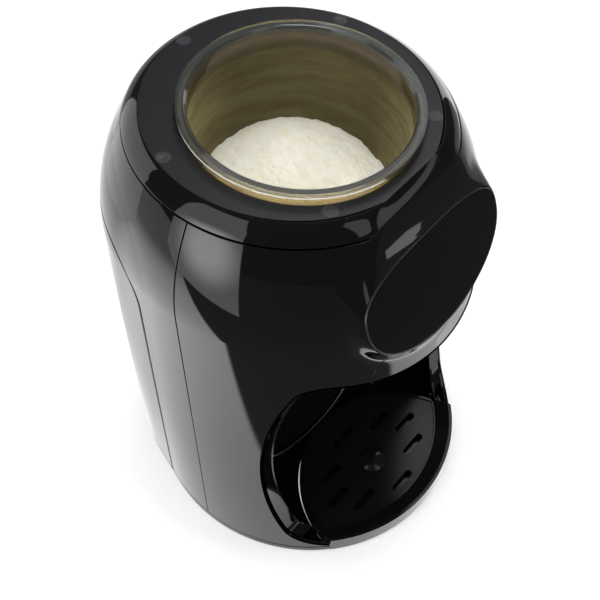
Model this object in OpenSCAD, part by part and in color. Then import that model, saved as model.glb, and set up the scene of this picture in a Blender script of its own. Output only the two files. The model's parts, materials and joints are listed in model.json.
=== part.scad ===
// Baby formula maker: a powder hopper on top, a water tank behind, a mixing funnel and a bottle bay in front.
// Millimetres, +Z up, front towards -Y. The origin is on the table under the centre of the base's front circle.

/* [Body] */
// Radius of the front circle of the base
base_front_r = 109; // [106:1:112]
// Radius of the rear circle of the base
base_rear_r = 98.3; // [96:0.1:101]
// Distance from the front circle's centre back to the rear circle's centre
rear_y = 32; // [28:1:36]
// How much the front circle grows from the base to the shoulder
front_flare = 4.7; // [2:0.1:6]
// How much the rear circle grows from the base to the shoulder
rear_flare = 14.6; // [12:0.1:16]
// Extra belly of the rear circle halfway up
rear_belly = 1; // [0:0.1:2]
// Depth under the top plate's face at which the shoulder starts to turn in
shoulder_down = 73.3; // [69:0.1:78]
// Radius of the shoulder's curve in side view
shoulder_r = 125; // [120:1:135]
// Wall of the outer shells
wall = 2.5; // [2:0.1:3.2]
// Gap at the seams between shells
seam = 0.4; // [0.3:0.05:0.6]
// Height of the plinth's top
plinth_z = 6; // [5.5:0.5:7]
// Height of the top cap, from the seam under it to the top plate's face
cap_h = 9.9; // [8.9:0.1:11.9]

/* [Top] */
// Height of the top plate's face
plate_z = 301.3; // [300:0.1:303]
// Radius of the top plate
plate_r = 85.6; // [84:0.2:87]
// Centre of the top plate, back from the origin
plate_y = 33.3; // [32:0.1:34]
// Thickness of the top plate
plate_t = 2.5; // [2:0.1:3]
// Radius of the rounded edge between the cap seam and the top plate
cap_round_r = 21.2; // [20:0.1:24]
// Radius of the circle of plugs
plug_ring_r = 81.1; // [80.5:0.1:81.5]
// Radius of one plug
plug_r = 4.4; // [4:0.1:4.8]
// Number of plugs and of the screws under them
plug_count = 5; // [3:1:6]

/* [Hopper] */
// Centre of the hopper, back from the origin
hopper_y = 25.9; // [25:0.1:27]
// Outer radius of the hopper's rim
rim_r = 70; // [69:0.5:72]
// Inner radius of the hopper
hopper_in_r = 64; // [63:0.5:64.5]
// Wall of the hopper
hopper_t = 2.5; // [2:0.1:3]
// Height of the rim's top over the top plate's face
rim_up = 7.2; // [6:0.1:9]
// Thickness of the rim
rim_t = 3; // [2.5:0.5:4]
// Depth of the hopper's seat under the top plate's face
seat_down = 102.3; // [101:0.1:104]
// Height of the powder heap's highest point over the hopper's seat
heap_h = 44; // [36:1:60]

/* [Display] */
// Half the width of the touch display
display_half_w = 62.5; // [58:0.5:65]
// Reach of the display's outline above its widest line
display_up = 25.5; // [22:0.5:28]
// Reach of the display's outline below its widest line
display_down = 40.5; // [36:0.5:42]
// Thickness of the display glass
display_t = 2.2; // [1.8:0.1:2.6]
// Lean of the display from upright, in degrees
display_tilt = 21; // [19:1:23]
// Depth of the display's widest line under the top plate's face
display_drop = 54.8; // [52.8:0.1:57]
// Depth of the display's face behind the round front of the body
facet_depth = 9.65; // [9:0.05:10.5]

/* [Bottle bay] */
// Height of the head, from the bay's front edge to the top plate's face
head_h = 112.8; // [111.5:0.1:117]
// Radius of the side edge's long curve
bay_edge_r = 213; // [205:1:220]
// Furthest point back of the side edge
bay_edge_y = -36; // [-38:0.5:-34]
// Height of that furthest point
bay_edge_z = 113; // [108:1:118]
// Thickness of the cheeks on both sides of the bay
cheek_t = 11; // [9:0.5:13]
// Back of the bay at its middle
bay_back_y = -12; // [-13:0.25:-11]

/* [Tray] */
// Centre of the tray's round back, in from the front of the base
tray_in = 21; // [19:0.5:23]
// Gap between the tray's round back and the bay's back
tray_back_gap = 1.8; // [1.4:0.1:3]
// Height of the tray's front lip
tray_lip_z = 15; // [13:0.5:17]
// Height of the grille's top face
grille_z = 9.4; // [9:0.2:11]
// Length of one slot in the grille
slot_len = 21.2; // [18:0.2:23]
// Width of one slot in the grille
slot_w = 5; // [4:0.2:6]
// Centre of the slot pattern and of the bottle, in from the front of the base
bottle_in = 47.3; // [46:0.1:49]

/* [Water tank] */
// Wall of the water tank
tank_t = 3; // [2.5:0.1:3.5]
// Gap between the tank and the shells
tank_gap = 1.5; // [1:0.1:2]
// Front wall of the tank
tank_front_y = 50.9; // [50.5:0.1:52]

/* [Drive] */
// Gear module
gear_module = 1; // [0.8:0.1:1]
// Teeth of the drive gear
gear_teeth = 34; // [30:1:34]
// Teeth of the motor pinion
pinion_teeth = 14; // [12:1:16]
// Radius of the drive shaft
shaft_r = 4; // [3.5:0.1:4.2]
// Radial running clearance of the drive shaft
shaft_play = 0.05; // [0.03:0.01:0.1]
// Number of dosing pockets in the wheel
pocket_count = 8; // [6:1:9]

/* [Hidden] */
$fn = 72;
body_fn = 96;          // directions round the body's lofted shells
eps = 0.01;
far = 400;             // larger than the whole machine
fit = 0.3;             // gap between pieces that move apart
shell_gap = 0.4;       // gap between a shell and what it covers
shoulder_z = plate_z - shoulder_down;
cap_seam_z = plate_z - cap_h;
rim_z = plate_z + rim_up;
display_z = plate_z - display_drop;
bay_top_z = plate_z - head_h;
tray_y = tray_in - base_front_r;
tray_r = bay_back_y - tray_back_gap - tray_y;
bottle_y = bottle_in - base_front_r;

gloss = "#0b0b0c";
satin = "#2f3136";
inner_black = "#18191b";
steel = "#b9bcc0";
board_green = "#1f5a3a";

// ---- The body's plan at one height: a round front that leans back over a round rear ----
function shoulder_drop(z) =
    let (q = max(z - shoulder_z, 0))
    shoulder_r - sqrt(shoulder_r * shoulder_r - q * q);
function rise(z) = min(z, shoulder_z) / shoulder_z;
function lean(z) = rear_y * z / cap_seam_z;
function front_r(z) = base_front_r + front_flare * rise(z) - shoulder_drop(z);
function rear_r(z) = base_rear_r + rear_flare * rise(z) + rear_belly * sin(180 * rise(z)) - shoulder_drop(z);
function plan_point(z, a, inset) =
    let (
        n = [cos(a), sin(a)],
        f = [0, lean(z)] + n * (front_r(z) - inset),
        r = [0, rear_y] + n * (rear_r(z) - inset)
    )
    f * n > r * n ? f : r;
function plan_ring(z, inset) = [for (i = [0:body_fn - 1]) plan_point(z, 360 * i / body_fn, inset)];

function front_y(z) = plan_point(z, -90, 0).y; // foremost point of the body at one height

shell_levels = concat(
    [for (k = [1:3]) k * 60],
    [for (up = [0, 10, 20, 30, 40, 49, 57]) shoulder_z + up]
);
function levels(z0, z1) = concat([z0], [for (z = shell_levels) if (z > z0 + 2 && z < z1 - 2) z], [z1]);

// A solid of the body's form between two heights, drawn in by inset
module body_form(z0, z1, inset = 0) {
    zs = levels(z0, z1);
    n = body_fn;
    pts = [for (z = zs) for (p = plan_ring(z, inset)) [p.x, p.y, z]];
    sides = [
        for (j = [0:len(zs) - 2]) for (i = [0:n - 1])
            let (a = j * n + i, b = j * n + (i + 1) % n)
            for (t = [[a, a + n, b + n], [a, b + n, b]]) t
    ];
    bottom = [for (i = [0:n - 1]) i];
    top = [for (i = [n - 1:-1:0]) (len(zs) - 1) * n + i];
    polyhedron(points = pts, faces = concat([bottom], sides, [top]));
}

// Draws a side-view outline, with Y across and Z up, as a bar along X
module along_x(w = far) {
    rotate([90, 0, 90])
        linear_extrude(w, center = true)
            children();
}

// ---- The flattened front of the head, which carries the display ----
facet_roll = 0.0053;    // how fast the flat rolls back over the display
facet_roll_z = display_z + 21.5; // where it starts to roll back
display_pos = [0, front_y(display_z) + facet_depth, display_z];
function facet_y(z, back) =
    let (q = max(z - facet_roll_z, 0))
    display_pos.y + tan(display_tilt) * (z - display_z) + facet_roll * q * q + back / cos(display_tilt);
module facet_keep(back = 0) {
    zs = concat([-10], [for (k = [0:5]) facet_roll_z + 8 * k]);
    along_x()
        polygon(concat([for (z = zs) [facet_y(z, back), z]], [[far, zs[6]], [far, zs[0]]]));
}
module on_display() {
    translate(display_pos)
        rotate([90 - display_tilt, 0, 0])
            children();
}

// The display's outline: a flat-topped upper half and an elliptic lower half
outline_fn = 72;
function outline_point(a, grow) =
    let (c = cos(a), s = sin(a), w = display_half_w + grow)
    s >= 0
        ? [w * sign(c) * pow(abs(c), 2 / 3), (display_up + grow) * pow(s, 2 / 3)]
        : [w * c, (display_down + grow) * s];
function outline(grow) = [for (i = [0:outline_fn - 1]) outline_point(360 * i / outline_fn + 0.01, grow)];
module display_shadow(grow) {
    // The outline seen straight from the front, as a bar along Y
    translate([0, 0, display_pos.z])
        rotate([90, 0, 0])
            linear_extrude(far, center = true)
                polygon([for (p = outline(grow)) [p.x, p.y * cos(display_tilt)]]);
}

// The swelling that carries the display's ends out from the round body
bezel_w = 1.2;
pod_depths = [0, 3, 7, 12, 18, 26];
pod_flares = [0, 0.6, 2.5, 7, 14, 24];
function pod_weight(a) = 0.12 + 0.88 * pow(abs(cos(a)), 3);
module pod_form(start, shrink = 0) {
    n = outline_fn;
    m = len(pod_depths);
    pts = [
        for (j = [0:m - 1]) for (i = [0:n - 1])
            let (
                a = 360 * i / n + 0.01,
                p = outline_point(a, bezel_w + pod_flares[j] * pod_weight(a) - shrink)
            )
            [p.x, p.y, -start - pod_depths[j]]
    ];
    sides = [
        for (j = [0:m - 2]) for (i = [0:n - 1])
            let (a = j * n + i, b = j * n + (i + 1) % n)
            for (t = [[a, b, b + n], [a, b + n, a + n]]) t
    ];
    front = [for (i = [n - 1:-1:0]) i];
    back = [for (i = [0:n - 1]) (m - 1) * n + i];
    on_display()
        polyhedron(points = pts, faces = concat([front], sides, [back]));
}

// ---- Seams in side view ----
side_seam_y0 = 2;       // side seam's place at the table
side_seam_lean = 0.0756; // how far it leans back for each millimetre up
module before_side_seam(gap = 0) {
    y0 = side_seam_y0 - gap;
    along_x()
        polygon([
            [y0 - far, -far], [y0 - far * side_seam_lean, -far],
            [y0 + far * side_seam_lean, far], [y0 - far, far]
        ]);
}

tank_seam_foot_y = 43.8; // tank seam at the table
tank_seam_top_y = 51.2;  // tank seam where its corner starts
tank_corner_z = plate_z - 97.3;
tank_corner_r = 36;
tank_top_rise = 6;       // how much the tank's top seam climbs to the rear
module tank_side(shrink = 0) {
    // Everything behind and under the tank seam
    r = tank_corner_r;
    cy = tank_seam_top_y + r;
    top_z = tank_corner_z + r;
    along_x()
        polygon(concat(
            [[far, -far], [tank_seam_foot_y - 1 + shrink, -far], [tank_seam_foot_y + shrink, 0]],
            [
                for (a = [180:-7.5:90])
                    [cy + (r - shrink) * cos(a), tank_corner_z + (r - shrink) * sin(a)]
            ],
            [[cy + 60, top_z + tank_top_rise - shrink], [far, top_z + tank_top_rise - shrink]]
        ));
}

// ---- Bay window in side view ----
bay_top_slope = 12;      // degrees that the head's lower edge climbs to the rear
bay_top_round = 13;
bay_low_round = 20;
bay_floor_z = plinth_z + 1.4;
bay_low_top_z = 120;     // the lower corner's outline ends here
bay_high_low_z = 40;     // the upper corner's outline starts here
bay_front_y = front_y(bay_top_z) - 2.81; // where the head's lower edge starts to climb
module bay_outline(corners, round) {
    // The side edge's curve, cut off by an outline and rounded where the two meet
    offset(r = round, $fn = 64)
        offset(delta = -round)
            intersection() {
                translate([bay_edge_y - bay_edge_r, bay_edge_z])
                    circle(bay_edge_r, $fn = 160);
                polygon(corners);
            }
}
module bay_window() {
    front = bay_front_y - far;
    along_x()
        union() {
            bay_outline([
                [front, bay_floor_z], [far, bay_floor_z], [far, bay_low_top_z], [front, bay_low_top_z]
            ], bay_low_round);
            bay_outline([
                [front, bay_high_low_z], [far, bay_high_low_z],
                [far, bay_top_z + (far - bay_front_y) * tan(bay_top_slope)],
                [bay_front_y, bay_top_z], [front, bay_top_z]
            ], bay_top_round);
        }
}

// ---- Shared heights inside ----
floor_low_z = 1.5;                       // underside of the base plate
floor_t = 2.4;
floor_z = floor_low_z + floor_t;         // top of the base plate's floor
deck_z = plate_z - seat_down;            // underside of the hopper deck
deck_t = 3;
ceiling_t = 2;
ceiling_z = deck_z - ceiling_t - 0.6;    // underside of the bay's ceiling
deck_top = deck_z + deck_t;
hopper_low_z = deck_top + fit;
heap_z = deck_z + heap_h;
hopper_floor_t = 3;
hopper_floor_z = hopper_low_z + hopper_floor_t;
hopper_out_r = hopper_in_r + hopper_t;
well_in_r = hopper_out_r + 2.3;
well_t = 2;
well_out_r = well_in_r + well_t;
recess_r = 71.2;                         // sunk ring round the hopper's neck
recess_z = plate_z - 3.1;
lower_ring_z = recess_z - 2;
neck_r = recess_r + 2;                   // outside of the ring that carries the recess
bay_wall_r = 239;                        // gentle curve of the bay's back wall
bay_wall_t = 2;
liner_inset = wall + shell_gap;
frame_y = 47.5;                          // front face of the machine frame's wall
frame_t = 2.4;
tray_gap = 0.4;
pocket_ring = hopper_in_r - 12;          // circle of the dosing pockets
discharge_y = hopper_y - pocket_ring;    // where a pocket empties into the funnel
discharge_r = 9;
carrier_z = ceiling_z - 3.8;             // plate that carries the funnel
funnel_r = 26;
funnel_y0 = front_y(carrier_z) + funnel_r + 5.82; // front end of the funnel's long mouth
funnel_y1 = discharge_y - 17.9;                   // rear end

module at_hopper(z = 0) {
    translate([0, hopper_y, z])
        children();
}
module at_plugs() {
    for (k = [0:plug_count - 1]) {
        a = -90 + 36 + k * 360 / plug_count;
        translate([plug_ring_r * cos(a), plate_y + plug_ring_r * sin(a), 0])
            children();
    }
}
module tube(h, r_out, r_in) {
    difference() {
        cylinder(h, r = r_out);
        translate([0, 0, -1])
            cylinder(h + 2, r = r_in);
    }
}
module rod_between(a, b, r) {
    v = b - a;
    translate(a)
        rotate([0, acos(v.z / norm(v)), atan2(v.y, v.x)])
            cylinder(norm(v), r = r, $fn = 32);
}
elbow_swell = 0.25;      // swelling of a hose at each bend
hose_step = 0.15;        // neighbouring lengths differ this much in radius
module bent_hose(route, r) {
    for (k = [0:len(route) - 2])
        rod_between(route[k], route[k + 1], r - hose_step * (k % 2));
    for (k = [1:len(route) - 2])
        translate(route[k])
            rotate([50, 35, 0])
                sphere(r + elbow_swell, $fn = 32);
}

// ---- Base ----
module base_outline(inset) {
    polygon(plan_ring(floor_low_z, inset));
}
foot_r = 9;
foot_h = 2.3;
foot_places = [[-82, -25], [82, -25], [-55, 98], [55, 98], [0, -1]];
screw_places = [[-78, 34], [78, 34], [-20, 40], [8, 40]];
boss_r = 4.5;
boss_h = 10;
screw_r = 1.6;
screw_hole_r = 1.7;
head_r = 3;              // screw head
head_t = 1.2;
ring_w = 6;              // width of the raised ring round the base
vent_w = 3;
vent_step = 7;
vent_y = 12;
vent_len = 20;
module base_plate() {
    color(gloss)
        difference() {
            union() {
                translate([0, 0, floor_low_z])
                    linear_extrude(floor_t)
                        base_outline(0);
                translate([0, 0, floor_low_z])
                    linear_extrude(plinth_z - floor_low_z)
                        difference() {
                            base_outline(0);
                            base_outline(ring_w);
                        }
            }
            translate([0, tray_y, -1])
                cylinder(plinth_z + 2, r = tray_r + tray_gap, $fn = 120);
            for (p = foot_places)
                translate([p.x, p.y, floor_low_z - 1])
                    cylinder(1 + foot_h - floor_low_z, r = foot_r + 0.1);
            for (p = screw_places)
                translate([p.x, p.y, 0])
                    cylinder(floor_z + 1, r = screw_hole_r, $fn = 24);
            for (k = [-4:4])
                translate([k * vent_step - vent_w / 2, vent_y, 0])
                    cube([vent_w, vent_len, floor_z + 1]);
        }
}
module feet() {
    color("#202020")
        for (p = foot_places)
            translate([p.x, p.y, 0])
                cylinder(foot_h, r = foot_r);
}
module base_screws() {
    color(steel)
        for (p = screw_places)
            translate([p.x, p.y, 0]) {
                translate([0, 0, floor_low_z - head_t])
                    cylinder(head_t, r = head_r);
                translate([0, 0, floor_low_z - eps])
                    cylinder(floor_t + 6, r = screw_r, $fn = 24);
            }
}

// ---- Outer shells ----
cover_foot_half_w = 54.5; // funnel drawer's cover at its lower edge
cover_top_half_w = 48;    // and where it meets the display
cover_knee_z = bay_top_z + 2.5;
cover_top_z = bay_top_z + 25.5;
cover_low_z = bay_top_z - 8.5;
cover_back_y = bottle_y + 1.7; // the cover's outline cuts only in front of this
module cover_front(grow) {
    // The cover's outline from the front, as a bar along Y in front of the hopper
    low = cover_foot_half_w + grow;
    high = cover_top_half_w + grow;
    foot_z = cover_low_z - 30;
    translate([0, cover_back_y, 0])
        rotate([90, 0, 0])
            linear_extrude(far)
                polygon([
                    [-low, foot_z], [low, foot_z], [low, cover_knee_z],
                    [high, cover_top_z], [-high, cover_top_z], [-low, cover_knee_z]
                ]);
}
display_seat = display_t + 0.1;
display_gap = 0.15;
cover_display_gap = 2.4; // from the display's outline to the cover's opening
module display_recess() {
    on_display()
        translate([0, 0, -display_seat])
            linear_extrude(40)
                polygon(outline(bezel_w + display_gap));
}
module front_shell() {
    color(gloss)
        difference() {
            union() {
                intersection() {
                    body_form(plinth_z + seam, cap_seam_z - seam / 2);
                    facet_keep();
                    before_side_seam(seam / 2);
                }
                pod_form(display_seat - eps);
            }
            display_recess();
            difference() {
                union() {
                    intersection() {
                        body_form(plinth_z - 2, cap_seam_z + 2, wall);
                        facet_keep(wall);
                    }
                    pod_form(display_seat + wall, wall);
                }
                on_display()
                    translate([0, 0, -display_seat - wall])
                        linear_extrude(20)
                            square([far, 2 * display_down + 10], center = true);
            }
            bay_window();
            translate([0, tray_y, 0])
                cylinder(30, r = tray_r + tray_gap, $fn = 120);
            difference() {
                cover_front(seam);
                display_shadow(cover_display_gap);
            }
        }
}
module rear_shell() {
    color(gloss)
        difference() {
            body_form(plinth_z + seam, cap_seam_z - seam / 2);
            body_form(plinth_z - 2, cap_seam_z + 2, wall);
            before_side_seam(-seam / 2);
            tank_side();
            inlet_cut();
        }
}
cap_y = 32.4;
cap_low_r = max(front_r(cap_seam_z), rear_r(cap_seam_z)) - 0.15;
cap_turn_a = 27;         // slope at which the cap's round takes over from the shells
cap_turn_r = cap_low_r - cap_round_r * cos(cap_turn_a);
cap_turn_z = cap_seam_z - cap_round_r * sin(cap_turn_a);
ledge_t = 2.6;
ledge_z = plate_z - plate_t - ledge_t;
module cap_form(draw_in) {
    // The cap's rounded form, filled in to its axis
    low_z = cap_seam_z + seam / 2 - (draw_in > 0 ? 1 : 0);
    translate([0, cap_y, 0])
        rotate_extrude($fn = 120) {
            intersection() {
                translate([cap_turn_r, cap_turn_z])
                    circle(cap_round_r - draw_in, $fn = 120);
                translate([0, low_z])
                    square([2 * cap_low_r, 4 * cap_h]);
            }
            translate([0, low_z])
                square([cap_turn_r + eps, plate_z - draw_in - low_z]);
        }
}
module top_cap() {
    color(gloss)
        difference() {
            intersection() {
                cap_form(0);
                facet_keep();
                translate([-far / 2, -far / 2, 0])
                    cube([far, far, plate_z]);
            }
            intersection() {
                cap_form(wall);
                facet_keep(wall);
                translate([-far / 2, -far / 2, 0])
                    cube([far, far, ledge_z]);
            }
            translate([0, plate_y, plate_z - plate_t - 0.1])
                cylinder(20, r = plate_r + fit, $fn = 120);
            at_hopper(ledge_z - 10)
                cylinder(20, r = neck_r + fit, $fn = 120);
            at_plugs()
                translate([0, 0, ledge_z - 1])
                    cylinder(10, r = screw_hole_r, $fn = 24);
        }
}
plate_low_z = plate_z - plate_t;
notch_y = plate_y - plate_r + 3; // straight front edge of the top plate
plug_h = 1.9;
dish_r = 12;             // round of the plugs' dished tops
module top_plate() {
    color(satin)
        difference() {
            union() {
                translate([0, plate_y, plate_low_z])
                    cylinder(plate_t, r = plate_r, $fn = 120);
                at_hopper(lower_ring_z)
                    cylinder(plate_low_z - lower_ring_z + eps, r = neck_r, $fn = 120);
            }
            at_hopper(recess_z)
                cylinder(20, r = recess_r, $fn = 120);
            at_hopper(lower_ring_z - 1)
                cylinder(20, r = hopper_out_r + 1, $fn = 120);
            translate([-far / 2, notch_y - far, plate_low_z - 20])
                cube([far, far, 40]);
            at_plugs() {
                translate([0, 0, plate_z - plug_h])
                    cylinder(10, r = plug_r + 0.1, $fn = 40);
                translate([0, 0, plate_low_z - 1])
                    cylinder(10, r = screw_hole_r + 0.1, $fn = 24);
            }
        }
}
module plate_plugs() {
    color("#3a3c41")
        at_plugs()
            difference() {
                translate([0, 0, plate_z - plug_h])
                    cylinder(plug_h + 0.1, r = plug_r, $fn = 40);
                translate([0, 0, plate_z + dish_r - 0.2])
                    sphere(dish_r, $fn = 48);
            }
}
module plate_screws() {
    color(steel)
        at_plugs() {
            translate([0, 0, ledge_z - 3])
                cylinder(plate_z - plug_h - ledge_z + 3, r = screw_r, $fn = 24);
        }
}

// ---- Display ----
module display_panel() {
    color("#050506")
        on_display()
            translate([0, 0, -display_t])
                linear_extrude(display_t + 0.3)
                    polygon(outline(-0.1));
}
module display_bezel() {
    color("#8d9094")
        on_display()
            translate([0, 0, -display_t])
                linear_extrude(display_t + 0.1)
                    difference() {
                        polygon(outline(bezel_w));
                        polygon(outline(0));
                    }
}
board_back = 11;         // control board's distance behind the display's face
board_size = [92, 36];
board_low = -4;          // board's middle, down from the display's widest line
board_t = 1.6;
key_size = [10, 8, 2.5]; // parts on the board's back
post_r = 3;
post_places = [[-38, 8], [38, 8], [-24, -16], [24, -16]];
module control_board() {
    color(board_green)
        on_display()
            difference() {
                union() {
                    translate([0, board_low, -board_back])
                        linear_extrude(board_t)
                            square(board_size, center = true);
                    for (x = [-18, 0, 18])
                        translate([x - key_size.x / 2, -10, -board_back - key_size.z])
                            cube(key_size + [0, 0, eps]);
                }
                for (p = post_places)
                    translate([p.x, p.y, -board_back - 1])
                        cylinder(board_t + 2, r = screw_hole_r, $fn = 24);
            }
}
module board_posts() {
    color(inner_black)
        on_display()
            for (p = post_places)
                translate([p.x, p.y, -board_back + board_t])
                    cylinder(board_back - board_t - display_seat - wall, r = post_r, $fn = 32);
}

// ---- Bay ----
module bay_void(z0, z1) {
    intersection() {
        body_form(z0, z1, cheek_t);
        translate([0, bay_back_y - bay_wall_r, z0 - 1])
            cylinder(z1 - z0 + 2, r = bay_wall_r, $fn = 200);
    }
}
liner_front_y = bottle_y + 5.7; // the liner's walls end here above the line below
liner_front_z = bay_top_z - 38.5;
module bay_liner() {
    color(gloss)
        difference() {
            intersection() {
                body_form(floor_z, ceiling_z, liner_inset);
                translate([0, bay_back_y - bay_wall_r, 0])
                    cylinder(far, r = bay_wall_r + bay_wall_t, $fn = 200);
            }
            bay_void(bay_floor_z + 0.6, ceiling_z + 1);
            bay_window();
            translate([0, tray_y, -1])
                cylinder(40, r = tray_r + tray_gap, $fn = 120);
            translate([-far / 2, liner_front_y - far, liner_front_z])
                cube([far, far, far]);
            base_ring_room();
        }
}
module base_ring_room() {
    difference() {
        body_form(floor_z - 3, plinth_z + shell_gap, 0);
        body_form(floor_z - 4, plinth_z + 2, ring_w + shell_gap);
    }
}
module bay_ceiling() {
    // The slot is the funnel's way out, and the notch takes the motor's bracket
    notch_y = -(bracket_post_y + bracket_post_r + 0.6);
    color(inner_black)
        difference() {
            intersection() {
                translate([0, 0, ceiling_z])
                    linear_extrude(ceiling_t)
                        polygon(plan_ring(ceiling_z, liner_inset));
                translate([-far / 2, frame_y - 1.5 - far, ceiling_z - 1])
                    cube([far, far, 10]);
                facet_keep(liner_inset);
            }
            translate([-funnel_r - 7, funnel_y1 + funnel_r + 3.5 - far, ceiling_z - 1])
                cube([2 * funnel_r + 14, far, 10]);
            at_hopper(ceiling_z - 1)
                translate([motor_x - bracket_side - 0.8, notch_y, 0])
                    cube([bracket_size.x + 14, far, 10]);
            translate([hose_rise.x, hose_rise.y, ceiling_z - 1])
                cylinder(10, r = hose_r + 2, $fn = 32);
        }
}
carrier_t = 2.5;
carrier_half_w = funnel_r + 12;
rail_t = 2;
rail_w = 2.5;
rail_lap = 3;
rail_z = carrier_z - fit - rail_t;
rail_y0 = front_y(carrier_z) + 17.8;
rail_y1 = funnel_y1 + funnel_r + 2;
module drawer_rails() {
    color(inner_black)
        for (s = [-1, 1])
            scale([s, 1, 1]) {
                translate([carrier_half_w + fit, rail_y0, rail_z])
                    cube([rail_w, rail_y1 - rail_y0, ceiling_z - rail_z]);
                translate([carrier_half_w - rail_lap, rail_y0, rail_z])
                    cube([rail_w + rail_lap, rail_y1 - rail_y0, rail_t]);
            }
}

// ---- Frame and hopper seat ----
dock_x = 30;
dock_z = 20;
dock_out_r = 9;
rib_t = 4;               // web from a screw boss to the frame's wall
frame_slot = [18, 10];   // cable slots through the frame's wall
frame_slot_z = deck_z - 34;
frame_half_w = 91;
module machine_frame() {
    color(inner_black)
        difference() {
            union() {
                intersection() {
                    body_form(floor_z, deck_z, liner_inset);
                    translate([-far / 2, frame_y, 0])
                        cube([far, frame_t, far]);
                    frame_limit();
                }
                for (p = screw_places)
                    translate([p.x, 0, floor_z]) {
                        translate([0, p.y, 0])
                            cylinder(boss_h, r = boss_r, $fn = 40);
                        translate([-rib_t / 2, p.y, 0])
                            cube([rib_t, frame_y - p.y + eps, boss_h + 6]);
                    }
            }
            for (p = screw_places)
                translate([p.x, p.y, 0])
                    cylinder(floor_z + boss_h - 2, r = screw_r + 0.05, $fn = 24);
            translate([dock_x, frame_y - 1, dock_z])
                rotate([-90, 0, 0])
                    cylinder(10, r = dock_out_r + 0.1, $fn = 48);
            for (k = [0:3])
                translate([-60 + k * 34, frame_y - 1, frame_slot_z])
                    cube([frame_slot.x, 10, frame_slot.y]);
        }
}
module frame_limit() {
    // Keeps the frame's wall clear of the tank's forward side edges
    translate([-frame_half_w, 0, 0])
        cube([2 * frame_half_w, far, far]);
}
hose_r = 4;
hose_rise = [84, 8];
deck_front_y = bottle_y - 0.3;
deck_screw_x = 101;
module hopper_deck() {
    color(inner_black)
        difference() {
            intersection() {
                translate([0, 0, deck_z])
                    linear_extrude(deck_t)
                        polygon(plan_ring(deck_z, liner_inset));
                translate([-far / 2, deck_front_y, deck_z - 1])
                    cube([far, frame_y + frame_t - deck_front_y, 10]);
            }
            at_hopper(deck_z - 1)
                cylinder(10, r = bush_r + 0.02, $fn = 48);
            translate([0, discharge_y, deck_z - 1])
                cylinder(10, r = discharge_r, $fn = 48);
            translate([spout_at.x - spout_w / 2 - 0.1, spout_at.y - spout_back - 0.1, deck_z - 1])
                cube([spout_w + 0.2, spout_w + 0.2, 10]);
            translate([hose_rise.x, hose_rise.y, deck_z - 1])
                cylinder(10, r = hose_r + 1, $fn = 32);
            for (x = [-1, 1])
                translate([x * deck_screw_x, 0, deck_z - 1])
                    cylinder(10, r = screw_hole_r, $fn = 24);
        }
}
module hopper_well() {
    color(inner_black)
        at_hopper(deck_top)
            tube(lower_ring_z - deck_top, well_out_r, well_in_r, $fn = 120);
}

// ---- Drive ----
gear_h = 6;
bracket_z = deck_z - 13;
bracket_t = 2.4;
gear_z = bracket_z + bracket_t + 2;
bush_r = 6.5;
bracket_size = [58, 40];
bracket_side = 19;       // from the motor's axis to the bracket's end
bracket_post_r = 2.5;
bracket_post_y = 16;
bracket_post_x = 14;     // posts on the far side from the motor
gear_gap = 0.15;         // extra centre distance for backlash
centre_gap = gear_module * (gear_teeth + pinion_teeth) / 2 + gear_gap;
motor_x = -centre_gap;
motor_r = 15;
gearbox_h = 18;
can_h = 34;
motor_boss_r = 4;
motor_shaft_r = 2;
// A spur gear with straight-sided teeth and rounded-off mesh room
module spur_gear(teeth, h, bore_r, turn) {
    pitch = gear_module * teeth / 2;
    tip = pitch + gear_module * 0.95;
    root = pitch - gear_module * 1.2;
    step = 360 / teeth;
    half_tip = step * 0.11;
    half_pitch = step * 0.235;
    half_root = step * 0.34;
    difference() {
        linear_extrude(h)
            polygon([
                for (k = [0:teeth - 1])
                    for (q = [[-half_root, root], [-half_pitch, pitch], [-half_tip, tip],
                              [half_tip, tip], [half_pitch, pitch], [half_root, root]])
                        let (a = turn + k * step + q[0])
                        q[1] * [cos(a), sin(a)]
            ]);
        translate([0, 0, -1])
            cylinder(h + 2, r = bore_r, $fn = 48);
    }
}
module motor_bracket() {
    color(steel)
        difference() {
            union() {
                translate([motor_x - bracket_side, hopper_y - bracket_size.y / 2, bracket_z])
                    cube([bracket_size.x, bracket_size.y, bracket_t]);
                for (x = [motor_x - motor_r, bracket_post_x], s = [-1, 1])
                    translate([x, hopper_y + s * bracket_post_y, bracket_z])
                        cylinder(deck_z - bracket_z, r = bracket_post_r, $fn = 32);
            }
            at_hopper(bracket_z - 1)
                cylinder(5, r = bush_r + 0.02, $fn = 48);
            at_hopper(bracket_z - 1)
                translate([motor_x, 0, 0])
                    cylinder(5, r = motor_boss_r + 1, $fn = 48);
        }
}
module gear_motor() {
    color("#8a8f96")
        at_hopper()
            translate([motor_x, 0, 0]) {
                translate([0, 0, bracket_z - gearbox_h])
                    cylinder(gearbox_h, r = motor_r);
                translate([0, 0, bracket_z - gearbox_h - can_h])
                    cylinder(can_h + eps, r = motor_r - 3);
                translate([0, 0, bracket_z - eps])
                    cylinder(gear_z - bracket_z - fit, r = motor_boss_r, $fn = 48);
                translate([0, 0, bracket_z])
                    cylinder(gear_z + gear_h - bracket_z, r = motor_shaft_r, $fn = 32);
                for (x = [-5, 5])
                    translate([x - 1, -1, bracket_z - gearbox_h - can_h - 4])
                        cube([2, 2, 5]);
            }
}
module shaft_bushes() {
    color("#b08d57")
        at_hopper() {
            translate([0, 0, bracket_z])
                tube(bracket_t, bush_r, shaft_r + shaft_play);
            translate([0, 0, deck_z])
                tube(deck_t, bush_r, shaft_r + shaft_play);
        }
}
dog_r = shaft_r;         // six-sided end that turns the wheel
dog_h = 8;
shaft_tail = 3;
bore_gap = 0.05;         // gears on their shafts
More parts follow.
